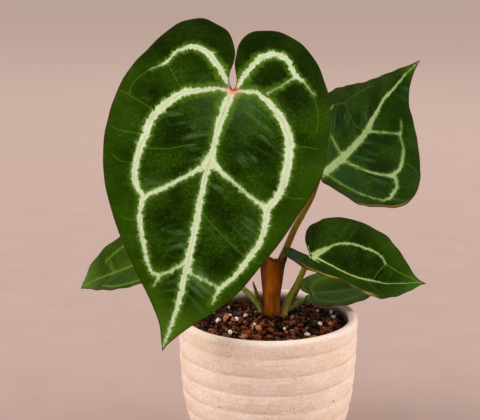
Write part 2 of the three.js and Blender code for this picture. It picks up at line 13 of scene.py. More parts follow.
import bmesh
import bpy
import numpy as np
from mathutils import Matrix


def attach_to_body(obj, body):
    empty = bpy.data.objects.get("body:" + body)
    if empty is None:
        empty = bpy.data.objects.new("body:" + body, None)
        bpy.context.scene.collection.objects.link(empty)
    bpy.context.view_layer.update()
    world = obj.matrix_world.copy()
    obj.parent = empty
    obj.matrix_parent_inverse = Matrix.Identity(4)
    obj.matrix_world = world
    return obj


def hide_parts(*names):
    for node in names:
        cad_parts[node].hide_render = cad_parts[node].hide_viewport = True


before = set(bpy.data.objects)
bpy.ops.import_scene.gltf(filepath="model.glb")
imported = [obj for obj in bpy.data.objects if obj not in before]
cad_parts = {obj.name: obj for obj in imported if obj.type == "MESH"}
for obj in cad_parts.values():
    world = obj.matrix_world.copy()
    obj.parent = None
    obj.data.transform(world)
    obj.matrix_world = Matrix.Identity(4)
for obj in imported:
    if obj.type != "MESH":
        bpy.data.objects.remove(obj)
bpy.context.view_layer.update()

MM = 0.001
BODY = "root"

SAME_POINT = 2e-6  # metres within which two points of a piece are one
NO_LENGTH = 1e-7  # metres below which an edge has no length
NO_BEND = 1e-5  # the curvature per millimetre that stands for none
FAR = 1e3  # millimetres, further than any place on a blade lies from a vein
NO_VEIN = 50.0  # millimetres from a fine vein, where there is none
RIGHT_SIDE = 400.0  # added to how far along a line a place is, where it lies on the line's right
VEIN_SHIFT = 57.3  # millimetres between the runs of two veins, so that their teeth differ
VEIN_STEPS = 5  # points of a smooth vein for each drawn one
ROUTE_STEPS = 40  # points on each piece of a stalk's route, before they are spaced evenly

Colour = tuple[float, float, float, float]
Span = tuple[float, float]
Place = tuple[float, float, float]
Stretch = tuple[float, float, float]
Outline = tuple[tuple[float, float], ...]
Line = tuple[tuple[float, float, float], ...]
Array = np.ndarray
Socket = bpy.types.NodeSocket
Piece = bpy.types.Object
Material = bpy.types.Material

log = logging.getLogger("anthurium")


def paint(red: int, green: int, blue: int) -> Colour:
    """Turns a colour as a screen shows it, 0 to 255, into the linear one that a shader takes.

    Args:
        red: The red part.
        green: The green part.
        blue: The blue part.

    Returns:
        Red, green and blue from 0 to 1, and a full alpha.
    """
    def straight(part: int) -> float:
        """One part of the colour, linear."""
        share = part / 255
        return share / 12.92 if share <= 0.04045 else ((share + 0.055) / 1.055) ** 2.4

    return straight(red), straight(green), straight(blue), 1.0


def smooth(value: Array, low: float, high: float) -> Array:
    """Rises softly from 0 at low to 1 at high, also where low is above high."""
    share = np.clip((value - low) / (high - low), 0, 1)
    return share * share * (3 - 2 * share)


def cubic(start: Array, end: Array, leave: Array, arrive: Array, share: Array) -> Array:
    """Follows a cubic curve between two points.

    Args:
        start: Where it starts.
        end: Where it ends.
        leave: Its slope at the start.
        arrive: Its slope at the end.
        share: How far along it each wanted place is, from 0 to 1.

    Returns:
        The places.
    """
    return (
        (2 * start - 2 * end + leave + arrive) * share**3
        + (3 * end - 3 * start - 2 * leave - arrive) * share**2
        + leave * share
        + start
    )


def through(points: Array, count: int) -> Array:
    """Lays an even cubic spline through points, as the outlines of the blades and the pot have.

    Args:
        points: The points, one to a row.
        count: How many points the result has.

    Returns:
        Points along the spline, at equal steps of its parameter.
    """
    last = len(points) - 1
    place = np.linspace(0, last, count)
    step = np.minimum(place.astype(int), last - 1)
    share = (place - step)[:, None]
    before = points[np.maximum(step - 1, 0)]
    start = points[step]
    end = points[step + 1]
    after = points[np.minimum(step + 2, last)]
    return cubic(start, end, (end - before) / 2, (after - start) / 2, share)


def evenly(points: Array, count: int) -> Array:
    """Takes points at equal distances along a line of points.

    Args:
        points: The line.
        count: How many points the result has.

    Returns:
        The evenly spaced points.
    """
    steps = np.linalg.norm(np.diff(points, axis=0), axis=1)
    run = np.concatenate([[0], np.cumsum(steps)])
    wanted = np.linspace(0, run[-1], count)
    return np.stack([np.interp(wanted, run, points[:, axis]) for axis in range(points.shape[1])], axis=1)


def along_route(points: Array, count: int) -> Array:
    """Follows a stalk's route: a centripetal spline through its points, at equal distances.

    Args:
        points: The route's points, in space.
        count: How many points the result has.

    Returns:
        Evenly spaced points along the route.
    """
    first = 2 * points[0] - points[1]
    beyond = 2 * points[-1] - points[-2]
    knots = np.vstack([first, points, beyond])
    pieces = []
    for number in range(1, len(knots) - 2):
        before, start, end, after = knots[number - 1:number + 3]
        gaps = [math.sqrt(np.linalg.norm(b - a)) for a, b in ((before, start), (start, end), (end, after))]
        leave = gaps[1] * (
            (start - before) / gaps[0] - (end - before) / (gaps[0] + gaps[1]) + (end - start) / gaps[1]
        )
        arrive = gaps[1] * (
            (end - start) / gaps[1] - (after - start) / (gaps[1] + gaps[2]) + (after - end) / gaps[2]
        )
        pieces.append(cubic(start, end, leave, arrive, np.linspace(0, 1, ROUTE_STEPS)[:, None]))
    return evenly(np.vstack([pieces[0], *[piece[1:] for piece in pieces[1:]]]), count)


def new_mesh(name: str, points: Array, faces: Iterable[Sequence[int]]) -> Piece:
    """Makes an object from points in millimetres.

    Args:
        name: The object's name.
        points: Its points.
        faces: Its faces, each a list of point numbers.

    Returns:
        The object, at the origin and smoothly shaded.
    """
    mesh = bpy.data.meshes.new(name)
    mesh.from_pydata((np.asarray(points) * MM).tolist(), [], [list(face) for face in faces])
    mesh.polygons.foreach_set("use_smooth", [True] * len(mesh.polygons))
    piece = bpy.data.objects.new(name, mesh)
    bpy.context.scene.collection.objects.link(piece)
    return piece


def new_line(name: str, points: Array, **values: Array) -> Piece:
    """Makes a line of points, with a number at each point.

    Args:
        name: The object's name.
        points: The line's points, in millimetres.
        values: Numbers at the points, by attribute name.

    Returns:
        The line as an object of edges.
    """
    mesh = bpy.data.meshes.new(name)
    edges = [(i, i + 1) for i in range(len(points) - 1)]
    mesh.from_pydata((np.asarray(points) * MM).tolist(), edges, [])
    line = bpy.data.objects.new(name, mesh)
    bpy.context.scene.collection.objects.link(line)
    for attribute, numbers in values.items():
        mark(line, attribute, numbers)
    return line


def mark(piece: Piece, name: str, values: Array) -> None:
    """Stores a number or a vector at each point of a piece.

    Args:
        piece: The piece.
        name: The attribute's name.
        values: One row for each point.
    """
    kind = "FLOAT" if values.ndim == 1 else "FLOAT_VECTOR"
    attribute = piece.data.attributes.new(name, kind, "POINT")
    attribute.data.foreach_set("value" if kind == "FLOAT" else "vector", values.astype(np.float32).ravel())


def turn_outwards(piece: Piece) -> None:
    """Merges doubled points of a closed piece and turns its faces outwards.

    Args:
        piece: The piece.
    """
    shape = bmesh.new()
    shape.from_mesh(piece.data)
    bmesh.ops.remove_doubles(shape, verts=shape.verts, dist=SAME_POINT)
    bmesh.ops.recalc_face_normals(shape, faces=shape.faces)
    shape.to_mesh(piece.data)
    shape.free()


def hand_over(piece: Piece, slot: str, *nodes: str) -> None:
    """Gives a finished piece to the frame.

    Args:
        piece: The piece, at the origin.
        slot: The record's material slot that its finish belongs to. It is not used.
        nodes: The solids that it stands for.
    """
    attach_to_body(piece, BODY)
    if nodes:
        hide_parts(*nodes)
    piece.data.calc_loop_triangles()
    log.info("%s: %d triangles", piece.name, len(piece.data.loop_triangles))


# Node trees


class Graph:
    """Builds a node tree one node at a time."""

    columns = 12
    spacing = (190, -240)

    def __init__(self, tree: bpy.types.NodeTree) -> None:
        """Takes the tree to build in."""
        self.tree = tree

    def add(
        self, kind: str, feeds: Mapping[str | int, object] | None = None, **settings: object
    ) -> bpy.types.Node:
        """Adds a node.

        Args:
            kind: Blender's name for this kind of node.
            feeds: What its inputs take, by name or number: an output to link, or a value.
            settings: The node's own settings.

        Returns:
            The new node.
        """
        node = self.tree.nodes.new(kind)
        row, column = divmod(len(self.tree.nodes), self.columns)
        node.location = (self.spacing[0] * column, self.spacing[1] * row)
        for name, value in settings.items():
            setattr(node, name, value)
        for name, value in (feeds or {}).items():
            self.feed(node.inputs[name], value)
        return node

    def feed(self, socket: Socket, value: object) -> None:
        """Links an output to a socket, or sets the socket's own value.

        Args:
            socket: The socket.
            value: The output or the value, or None to leave the socket as it is.
        """
        if isinstance(value, Socket):
            self.tree.links.new(value, socket)
        elif value is not None:
            socket.default_value = value

    def calc(self, operation: str, *values: object) -> Socket:
        """Does one step of arithmetic on numbers."""
        return self.add("ShaderNodeMath", dict(enumerate(values)), operation=operation).outputs[0]

    def times(self, *factors: object) -> Socket:
        """Multiplies numbers.

        Args:
            factors: The numbers, the first of them an output.

        Returns:
            Their product.
        """
        product, *others = factors
        for factor in others:
            product = self.calc("MULTIPLY", product, factor)
        return product

    def rise(self, value: Socket, low: float, high: float) -> Socket:
        """Rises softly from 0 at low to 1 at high, also where low is above high.

        Args:
            value: The number that rises or falls.
            low: Where the result is 0.
            high: Where it is 1.

        Returns:
            A number from 0 to 1.
        """
        feeds = {0: value, 1: low, 2: high, 3: 0.0, 4: 1.0}
        if low > high:
            feeds = {0: value, 1: high, 2: low, 3: 1.0, 4: 0.0}
        return self.add("ShaderNodeMapRange", feeds, interpolation_type="SMOOTHSTEP").outputs[0]

    def stretch(self, where: Socket, scale: Stretch) -> Socket:
        """Scales a place by a different amount along each axis."""
        return self.add("ShaderNodeVectorMath", {0: where, 1: scale}, operation="MULTIPLY").outputs[0]

    def parts(self, where: Socket) -> bpy.types.NodeOutputs:
        """The three numbers of a place."""
        return self.add("ShaderNodeSeparateXYZ", {0: where}).outputs

    def place(self, x: object, y: object, z: object) -> Socket:
        """A place made of three numbers."""
        return self.add("ShaderNodeCombineXYZ", {0: x, 1: y, 2: z}).outputs[0]

    def length(self, where: Socket) -> Socket:
        """The distance of a place from the origin."""
        return self.add("ShaderNodeVectorMath", {0: where}, operation="LENGTH").outputs["Value"]

    def noise(self, where: Socket, scale: float, detail: float = 2.0) -> Socket:
        """Soft noise round 0.5.

        Args:
            where: The place it is read at.
            scale: How many patches fit in one unit.
            detail: How many finer layers it has.

        Returns:
            The noise.
        """
        feeds = {"Vector": where, "Scale": scale, "Detail": detail}
        return self.add("ShaderNodeTexNoise", feeds).outputs[0]


class Paint(Graph):
    """A material under construction, with the colour painted so far."""

    def __init__(self, name: str) -> None:
        """Starts an empty material.

        Args:
            name: The material's name.
        """
        self.skin = bpy.data.materials.new(name)
        self.skin.use_nodes = True
        super().__init__(self.skin.node_tree)
        self.tree.nodes.clear()
        self.colour: object = None

    def number(self, name: str) -> Socket:
        """Reads a number that is stored at the points."""
        return self.add("ShaderNodeAttribute", attribute_name=name).outputs["Fac"]

    def vector(self, name: str) -> Socket:
        """Reads a vector that is stored at the points."""
        return self.add("ShaderNodeAttribute", attribute_name=name).outputs["Vector"]

    def here(self) -> Socket:
        """The place on the piece, in metres from the middle of the pot's foot."""
        return self.add("ShaderNodeTexCoord").outputs["Object"]

    def mix(self, share: object, one: object, other: object) -> Socket:
        """Goes from one colour to the other as the share goes from 0 to 1."""
        return self.add("ShaderNodeMix", {0: share, 6: one, 7: other}, data_type="RGBA").outputs[2]

    def blend(self, under: object, over: object, *shares: object) -> Socket:
        """Blends a colour with one over it, as strong as the product of the shares."""
        return self.mix(self.times(*shares), under, over)

    def lay(self, over: object, *shares: object) -> None:
        """Lays a colour over what is painted, as strongly as the product of the shares."""
        self.colour = self.blend(self.colour, over, *shares)

    def cells(self, where: Socket, scale: float) -> bpy.types.NodeOutputs:
        """Rounded cells: the distance from the middle of each, and a colour of its own."""
        return self.add("ShaderNodeTexVoronoi", {"Vector": where, "Scale": scale}).outputs

    def web(self, where: Socket) -> Socket:
        """The distance to the nearest border between cells, one cell to a unit."""
        borders = self.add("ShaderNodeTexVoronoi", {"Vector": where}, feature="DISTANCE_TO_EDGE")
        return borders.outputs["Distance"]

    def spikes(self, run: Socket) -> Socket:
        """Pointed teeth along a line, about one to a unit, each of a height of its own.

        Args:
            run: How far along the line a place is.

        Returns:
            A number from 0 between the teeth to at most 1 at their tips.
        """
        teeth = self.add("ShaderNodeTexVoronoi", {"W": run}, voronoi_dimensions="1D").outputs
        pointed = self.calc("MAXIMUM", self.calc("MULTIPLY_ADD", teeth["Distance"], -3.0, 1.0), 0.0)
        return self.calc("MULTIPLY", pointed, self.parts(teeth["Color"])[0])

    def bump(self, height: Socket, depth: float, under: object = None) -> Socket:
        """Tilts the surface by a height.

        Args:
            height: The height, from 0 to 1.
            depth: How deep a whole step is, in metres.
            under: A coarser bump that this one lies on.

        Returns:
            The tilted normal.
        """
        return self.add("ShaderNodeBump", {"Height": height, "Distance": depth, "Normal": under}).outputs[0]

    def coat(self, roughness: object, normal: object, **settings: float | Colour) -> Material:
        """Ends the material.

        Args:
            roughness: How matt it is.
            normal: The tilted normal, or None.
            settings: Other inputs of the shader, with underscores for spaces, set on the sockets themselves.

        Returns:
            The finished material.
        """
        feeds = {"Base Color": self.colour, "Roughness": roughness, "Normal": normal}
        feeds.update({name.replace("_", " "): value for name, value in settings.items()})
        shader = self.add("ShaderNodeBsdfPrincipled", feeds)
        self.add("ShaderNodeOutputMaterial", {"Surface": shader.outputs[0]})
        return self.skin


class Recipe(Graph):
    """A geometry tree under construction, with named inputs."""

    def __init__(self, name: str, **inputs: str) -> None:
        """Starts a tree.

        Args:
            name: The tree's name.
            inputs: The kind of each input's socket, by the input's name.
        """
        super().__init__(bpy.data.node_groups.new(name, "GeometryNodeTree"))
        self.tree.interface.new_socket(name="Source", in_out="INPUT", socket_type="NodeSocketGeometry")
        for label, kind in inputs.items():
            self.tree.interface.new_socket(name=label, in_out="INPUT", socket_type=f"NodeSocket{kind}")
        self.tree.interface.new_socket(name="Result", in_out="OUTPUT", socket_type="NodeSocketGeometry")
        self.given = self.add("NodeGroupInput").outputs

    def stored(self, name: str) -> Socket:
        """Reads a number that is stored at the points."""
        return self.add("GeometryNodeInputNamedAttribute", {"Name": name}, data_type="FLOAT").outputs[0]

    def chance(self, low: object, high: object, seed: object) -> Socket:
        """A number between two others, drawn anew for each point."""
        drawn = self.add("FunctionNodeRandomValue", {2: low, 3: high, "Seed": seed}, data_type="FLOAT")
        return drawn.outputs[1]

    def serve(self, geometry: Socket) -> None:
        """Ends the tree with real geometry in the given finish.

        Args:
            geometry: The geometry.
        """
        real = self.add("GeometryNodeRealizeInstances", {0: geometry})
        dressed = self.add("GeometryNodeSetMaterial", {0: real.outputs[0], "Material": self.given["Finish"]})
        self.add("NodeGroupOutput", {0: dressed.outputs[0]})

    def make(self, name: str, source: Piece, **inputs: object) -> Piece:
        """Runs the tree on a source, which it uses up.

        Args:
            name: The name of the piece that comes out.
            source: The object that the tree starts from.
            inputs: The values of the tree's inputs, by name.

        Returns:
            The piece, as a plain mesh at the origin.
        """
        worker = source.modifiers.new(self.tree.name, "NODES")
        worker.node_group = self.tree
        sockets = self.tree.interface.items_tree
        keys = {item.name: item.identifier for item in sockets if item.in_out == "INPUT"}
        for label, value in inputs.items():
            worker[keys[label]] = value
        shaped = source.evaluated_get(bpy.context.evaluated_depsgraph_get())
        piece = bpy.data.objects.new(name, bpy.data.meshes.new_from_object(shaped))
        bpy.context.scene.collection.objects.link(piece)
        source.modifiers.remove(worker)
        bpy.data.objects.remove(source)
        return piece


def turning_tree() -> Recipe:
    """The tree that turns a pot from its profile, with the slight waver of a hand on the wheel.

    Returns:
        The tree. Its source is a line of radius and height.
    """
    drift_pitch, drift_scale = 26.0, 0.9  # how fast the waver changes upwards, and round the pot
    foot_calm, lip_calm = (0.004, 0.02), (0.0895, 0.078)  # heights in metres where the waver fades
    tree = Recipe("turn_on_wheel", Turns="Int", Rows="Int", Waver="Float", Finish="Material")
    profile = tree.add("GeometryNodeMeshToCurve", {0: tree.given["Source"]})
    sheet = tree.add("GeometryNodeMeshGrid", {
        "Size X": 1.0, "Size Y": 1.0, "Vertices X": tree.given["Turns"], "Vertices Y": tree.given["Rows"],
    })
    flat = tree.parts(tree.add("GeometryNodeInputPosition").outputs[0])
    turn = tree.times(tree.calc("ADD", flat[0], 0.5), 2 * math.pi)
    share = tree.calc("ADD", flat[1], 0.5)
    sampled = {"Curves": profile.outputs[0], "Factor": share}
    sample = tree.add("GeometryNodeSampleCurve", sampled, mode="FACTOR")
    radius, _, height = tree.parts(sample.outputs["Position"])
    east, north = tree.calc("COSINE", turn), tree.calc("SINE", turn)
    drift = tree.noise(tree.place(east, north, tree.times(height, drift_pitch)), drift_scale, 1.0)
    lift = tree.times(tree.calc("SUBTRACT", drift, 0.5), tree.given["Waver"])
    for start, full in (foot_calm, lip_calm):
        lift = tree.times(tree.add("ShaderNodeMapRange", {0: height, 1: start, 2: full}).outputs[0], lift)
    point = tree.place(tree.times(radius, east), tree.times(radius, north), tree.calc("ADD", height, lift))
    turned = tree.add("GeometryNodeSetPosition", {0: sheet.outputs[0], "Position": point})
    joined = tree.add("GeometryNodeMergeByDistance", {0: turned.outputs[0], "Distance": 1e-5})
    tree.serve(tree.add("GeometryNodeSetShadeSmooth", {0: joined.outputs[0]}).outputs[0])
    return tree


def drawing_tree() -> Recipe:
    """The tree that draws a stalk out along its line, as thick as the line's girth says.

    Returns:
        The tree. Its source is a line with a girth at each point.
    """
    tree = Recipe("draw_out_stalk", Sides="Int", Uneven="Float", Finish="Material")
    line = tree.add("GeometryNodeMeshToCurve", {0: tree.given["Source"]})
    ring = tree.add("GeometryNodeCurvePrimitiveCircle", {"Resolution": tree.given["Sides"], "Radius": 1.0})
    feeds = {"Curve": line.outputs[0], "Profile Curve": ring.outputs[0], "Scale": tree.stored("girth")}
    swept = tree.add("GeometryNodeCurveToMesh", {**feeds, "Fill Caps": True})
    lump_scale = 320.0
    lumps = tree.noise(tree.add("GeometryNodeInputPosition").outputs[0], lump_scale)
    outwards = tree.add("ShaderNodeVectorMath", {
        0: tree.add("GeometryNodeInputNormal").outputs[0],
        "Scale": tree.times(tree.calc("SUBTRACT", lumps, 0.5), tree.given["Uneven"]),
    }, operation="SCALE")
    grown = tree.add("GeometryNodeSetPosition", {0: swept.outputs[0], "Offset": outwards.outputs[0]})
    tree.serve(tree.add("GeometryNodeSetShadeSmooth", {0: grown.outputs[0]}).outputs[0])
    return tree


def strewing_tree() -> Recipe:
    """The tree that strews pieces over a surface, a set distance apart, each turned its own way.

    Returns:
        The tree. Its source is a surface with the room for pieces at each point, from 0 to 1.
    """
    tree = Recipe(
        "strew", Pieces="Collection", Apart="Float", Crowd="Float", Small="Float", Large="Float",
        Tilt="Float", Sunk="Float", Seed="Int", Finish="Material",
    )
    seed = tree.given["Seed"]
    spots = tree.add("GeometryNodeDistributePointsOnFaces", {
        "Mesh": tree.given["Source"], "Distance Min": tree.given["Apart"], "Density Max": tree.given["Crowd"],
        "Density Factor": tree.stored("room"), "Seed": seed,
    }, distribute_method="POISSON")
    depth = tree.times(tree.chance(-1.0, 0.3, tree.calc("ADD", seed, 5)), tree.given["Sunk"])
    down = tree.place(0.0, 0.0, depth)
    sunk = tree.add("GeometryNodeSetPosition", {0: spots.outputs[0], "Offset": down})
    tree.serve(scattered(tree, sunk.outputs[0], tree.given["Tilt"]))
    return tree


def setting_tree() -> Recipe:
    """The tree that sets one piece on each point of its source.

    Returns:
        The tree. Its source is loose points.
    """
    tree = Recipe(
        "set_out", Pieces="Collection", Small="Float", Large="Float", Seed="Int", Finish="Material")
    spots = tree.add("GeometryNodeMeshToPoints", {0: tree.given["Source"]})
    tree.serve(scattered(tree, spots.outputs[0], math.pi))
    return tree


def scattered(tree: Recipe, spots: Socket, tilt: object) -> Socket:
    """Puts a piece on each point of a tree's geometry.

    Args:
        tree: The tree, with inputs for the pieces, their sizes and the seed.
        spots: The points.
        tilt: How far a piece leans at most, in radians.

    Returns:
        The placed pieces, each with a tone of its own from 0 to 1.
    """
    seed = tree.given["Seed"]
    lean = [tree.times(tree.chance(-1.0, 1.0, tree.calc("ADD", seed, number)), tilt) for number in (1, 2)]
    turn = tree.place(*lean, tree.chance(0.0, 2 * math.pi, tree.calc("ADD", seed, 3)))
    kinds = tree.add("GeometryNodeCollectionInfo", {
        "Collection": tree.given["Pieces"], "Separate Children": True, "Reset Children": True,
    })
    placed = tree.add("GeometryNodeInstanceOnPoints", {
        "Points": spots, "Instance": kinds.outputs[0], "Pick Instance": True, "Rotation": turn,
        "Scale": tree.chance(tree.given["Small"], tree.given["Large"], tree.calc("ADD", seed, 4)),
    })
    toned = tree.add("GeometryNodeStoreNamedAttribute", {
        0: placed.outputs[0], "Name": "tone", "Value": tree.chance(0.0, 1.0, tree.calc("ADD", seed, 6)),
    }, data_type="FLOAT", domain="INSTANCE")
    return toned.outputs[0]


# Finishes


@dataclass(frozen=True)
class VelvetBlade:
    """A blade's skin: dark velvety cells, pale toothed veins, a red-brown margin and a paler underside.

    It reads what the blade stores at its points, in millimetres: its flat place, and the distances to the
    painted edge of a vein, to a vein's middle, to a fine vein and to the margin. Scales are patches to a
    millimetre. A span is the two distances between which something fades in.
    """

    name: str
    dark: Colour = paint(10, 28, 0)
    lit: Colour = paint(32, 58, 2)
    # The colour of the painted sheen, in smudges on the cells and round the stalk's end
    sheen: Colour = paint(80, 116, 62)
    halo: Colour = paint(96, 136, 34)
    rim_green: Colour = paint(46, 76, 2)
    vein: Colour = paint(214, 226, 192)
    vein_edge: Colour = paint(158, 190, 104)
    seam: Colour = paint(168, 150, 112)
    margin: Colour = paint(56, 24, 6)
    hem_brown: Colour = paint(124, 96, 44)
    under: Colour = paint(108, 104, 40)
    under_vein: Colour = paint(140, 138, 84)
    warm: Colour = paint(226, 122, 76)
    blush: Colour = paint(232, 190, 160)
    thread: Colour = paint(176, 112, 70)
    shine: Colour = paint(176, 212, 60)
    vigour: float = 1.0
    fine: float = 0.34
    tooth: float = 1.0
    spread: float = 1.0
    spot: float = 3.6
    line: float = 0.5
    hem: float = 0.1
    hem_start: float = -60.0
    hem_end: float = 30.0
    tip: Span = (116.0, 156.0)
    bright: Span = (-14.0, 10.0)
    cloud_scale: float = 0.045
    patch_scale: float = 0.032
    mottle_scale: float = 0.6
    grain_scale: float = 1.3
    nap_scale: float = 3.1
    nap_depth: float = 0.0001
    lean: float = 0.45
    lobe_shade: float = 0.6
    rim_light: float = 0.45
    stalk_light: float = 0.3
    tip_light: float = 0.5

    def material(self) -> Material:
        """Builds the material.

        Returns:
            The finished material.
        """
        skin = BladePaint(self)
        self.lay_cells(skin)
        self.lay_shades(skin)
        self.lay_veins(skin)
        self.lay_flush(skin)
        self.lay_hem(skin)
        plain = skin.mix(skin.clouds, self.under, self.lit)
        below = skin.blend(plain, self.under_vein, skin.rise(skin.number("vein"), 0.8, -0.4))
        skin.colour = skin.mix(skin.number("upper"), below, skin.colour)
        matt = skin.calc("MULTIPLY_ADD", skin.grain, 0.2, 0.42)
        nap = skin.bump(skin.noise(skin.flat, self.nap_scale), self.nap_depth)
        return skin.coat(matt, nap, Specular_IOR_Level=0.1, Specular_Tint=self.shine)

    def lay_cells(self, skin: "BladePaint") -> None:
        """Paints the dark cells, with painted sheen combed along the side veins, and a faint net of the
        finest veins.

        Args:
            skin: The material under construction.
        """
        aside = skin.calc("ABSOLUTE", skin.out)
        slant = skin.calc("MULTIPLY_ADD", aside, -self.lean, skin.forth)
        skin.colour = skin.mix(skin.rise(skin.clouds, 0.36, 0.64), self.dark, self.lit)

        # Painted sheen: pale smudges of highlight on the velvet, only inside the loop of the large veins
        combed = skin.place(skin.times(slant, 0.2), skin.times(skin.out, 0.05), 0.0)
        streaks = skin.rise(skin.noise(combed, 1.0, 4.0), 0.47, 0.72)
        patches = skin.rise(skin.noise(skin.flat, self.patch_scale, 1.0), 0.42, 0.62)
        inside = skin.times(skin.rise(aside, 44, 20), skin.rise(skin.forth, -4, 8))
        skin.lay(self.sheen, streaks, patches, inside, 0.85)

        # The net, which the clouds pull out of true
        warp = skin.times(skin.clouds, 3.0)
        mesh = skin.web(skin.place(
            skin.calc("MULTIPLY_ADD", slant, 0.15, warp),
            skin.calc("MULTIPLY_ADD", skin.out, 0.1, warp), 0.0))
        skin.lay(self.halo, skin.rise(mesh, 0.07, 0.01), skin.rise(skin.clouds, 0.38, 0.56), 0.2)

        mottle = skin.noise(skin.flat, self.mottle_scale, 3.0)
        skin.lay(self.dark, skin.rise(mottle, 0.5, 0.34), 0.45)
        skin.lay(self.halo, skin.rise(mottle, 0.54, 0.72), 0.14)
        skin.lay(self.halo, skin.rise(skin.grain, 0.5, 0.8), 0.16)

    def lay_shades(self, skin: "BladePaint") -> None:
        """Darkens the lobes, and lightens the rim, the field round the stalk's end and the tip.

        Args:
            skin: The material under construction.
        """
        skin.lay(self.dark, skin.rise(skin.forth, 2, -14), self.lobe_shade)
        rim = skin.rise(skin.number("margin"), 20, 4)
        skin.lay(self.rim_green, rim, skin.rise(skin.forth, *self.bright), self.rim_light)
        # Painted sheen round the stalk's end
        near = skin.rise(skin.from_stalk, 36, 4)
        skin.lay(self.sheen, near, skin.rise(skin.forth, -4, 6), self.stalk_light)
        skin.lay(self.halo, skin.rise(skin.forth, *self.tip), self.tip_light)

    def lay_veins(self, skin: "BladePaint") -> None:
        """Paints the veins over the cells: fibrous, toothed across their run, in a brushed green glow.

        Args:
            skin: The material under construction.
        """
        vein, run = skin.number("vein"), skin.number("run")

        def beside(lengthwise: float, crosswise: float, detail: float) -> Socket:
            """Noise that follows the veins, with its scales along and across them."""
            where = skin.place(skin.times(run, lengthwise), skin.times(vein, crosswise), 0.0)
            return skin.noise(where, 1.0, detail)

        # The painted edge: long swellings, pointed teeth and fuzz, added up and taken off the distance
        tips = skin.spikes(skin.times(skin.calc("MULTIPLY_ADD", vein, 0.5, run), 0.34))
        reach = skin.calc("MULTIPLY_ADD", beside(0.55, 0.4, 2.0), 2.6, skin.times(tips, 1.6))
        reach = skin.calc("MULTIPLY_ADD", beside(0.22, 0.0, 1.0), 2.4, reach)
        edge = skin.calc("MULTIPLY_ADD", skin.calc("SUBTRACT", reach, 2.8), -self.tooth, vein)

        # The glow, wider near the stalk's end
        brushed = skin.calc("SUBTRACT", beside(0.3, 0.25, 3.0), 0.5)
        reached = skin.calc("MULTIPLY_ADD", brushed, -5.0 * self.spread, edge)
        reached = skin.calc("MULTIPLY_ADD", skin.rise(skin.from_stalk, 44, 6), -1.8 * self.spread, reached)
        skin.lay(self.halo, skin.rise(reached, 3.0 * self.spread, -0.6), 0.5 * self.vigour)
        skin.lay(self.halo, skin.rise(edge, 0.6, 0.0), 0.36 * self.vigour)

        # The pale vein, with green fibres and a thin seam down its middle
        pale = skin.mix(skin.rise(edge, 0.0, -0.4), self.vein_edge, self.vein)
        pale = skin.blend(pale, self.vein_edge, skin.rise(beside(0.16, 1.6, 3.0), 0.46, 0.6), 0.5)
        pale = skin.blend(pale, self.seam, skin.rise(skin.number("middle"), 0.5, 0.05), 0.35)
        skin.lay(pale, skin.rise(edge, 0.08, -0.1), self.vigour)

        # Fine veins, where no large one covers them
        waver = skin.times(skin.calc("SUBTRACT", skin.grain, 0.5), 0.5)
        off = skin.calc("ABSOLUTE", skin.calc("ADD", skin.number("across"), waver))
        there = skin.rise(skin.number("fine"), 2.6, 1.6)
        skin.lay(self.halo, skin.rise(off, 0.5, 0.1), there, skin.rise(edge, -0.1, 0.4), self.fine)

    def lay_flush(self, skin: "BladePaint") -> None:
        """Lets the stalk's end show through as an orange spot, with a thin warm line down the midrib.

        Args:
            skin: The material under construction.
        """
        on_rib = skin.rise(skin.number("rib"), 0.55, 0.1)
        skin.lay(
            self.thread, on_rib, skin.rise(skin.forth, 90, 6), skin.rise(skin.forth, -0.5, 0.5), self.line)
        skin.lay(self.blush, skin.rise(skin.from_stalk, self.spot * 2.2, 0.5), 0.4)
        skin.lay(self.warm, skin.rise(skin.from_stalk, self.spot, self.spot * 0.2))

    def lay_hem(self, skin: "BladePaint") -> None:
        """Paints the red-brown margin, and inside it a brown hem along a stretch of the first half.

        Args:
            skin: The material under construction.
        """
        margin = skin.number("margin")
        skin.lay(
            self.hem_brown, skin.rise(margin, self.hem, self.hem * 0.6),
            skin.rise(skin.out, self.hem, self.hem + 6),
            skin.rise(skin.forth, self.hem_end, self.hem_end - 12),
            skin.rise(skin.forth, self.hem_start, self.hem_start + 16),
        )
        skin.lay(self.margin, skin.rise(margin, 0.8, 0.3), 0.8)


class BladePaint(Paint):
    """A blade's material under construction, with what its layers share."""

    def __init__(self, finish: VelvetBlade) -> None:
        """Starts the material with the flat place, broad clouds and fine grain.

        Args:
            finish: The blade's finish.
        """
        super().__init__(finish.name)
        self.flat = self.vector("flat")
        self.out, self.forth, _ = self.parts(self.flat)
        self.from_stalk = self.length(self.flat)
        self.clouds = self.noise(self.flat, finish.cloud_scale, 3.0)
        self.grain = self.noise(self.flat, finish.grain_scale)


@dataclass(frozen=True)
class StalkSkin:
    """A stalk's smooth skin, from the colour of its foot to that of its tip, streaked and dotted."""

    name: str
    foot: Colour
    tip: Colour
    dots: Colour = paint(58, 26, 12)
    shine: Colour = paint(230, 210, 150)
    streak_scale: Stretch = (900.0, 900.0, 60.0)
    dot_scale: Stretch = (520.0, 520.0, 330.0)
    groove_depth: float = 0.00015

    def material(self) -> Material:
        """Builds the material.

        Returns:
            The finished material.
        """
        skin = Paint(self.name)
        here = skin.here()
        streaks = skin.noise(skin.stretch(here, self.streak_scale), 1.0)
        specks = skin.cells(skin.stretch(here, self.dot_scale), 1.0)
        skin.colour = skin.mix(skin.number("along"), self.foot, self.tip)
        skin.lay(self.dots, skin.rise(streaks, 0.45, 0.75), 0.28)
        skin.lay(self.dots, skin.rise(specks[0], 0.28, 0.16), 0.5)
        grooves = skin.bump(streaks, self.groove_depth)
        return skin.coat(0.42, grooves, Specular_IOR_Level=0.3, Specular_Tint=self.shine)


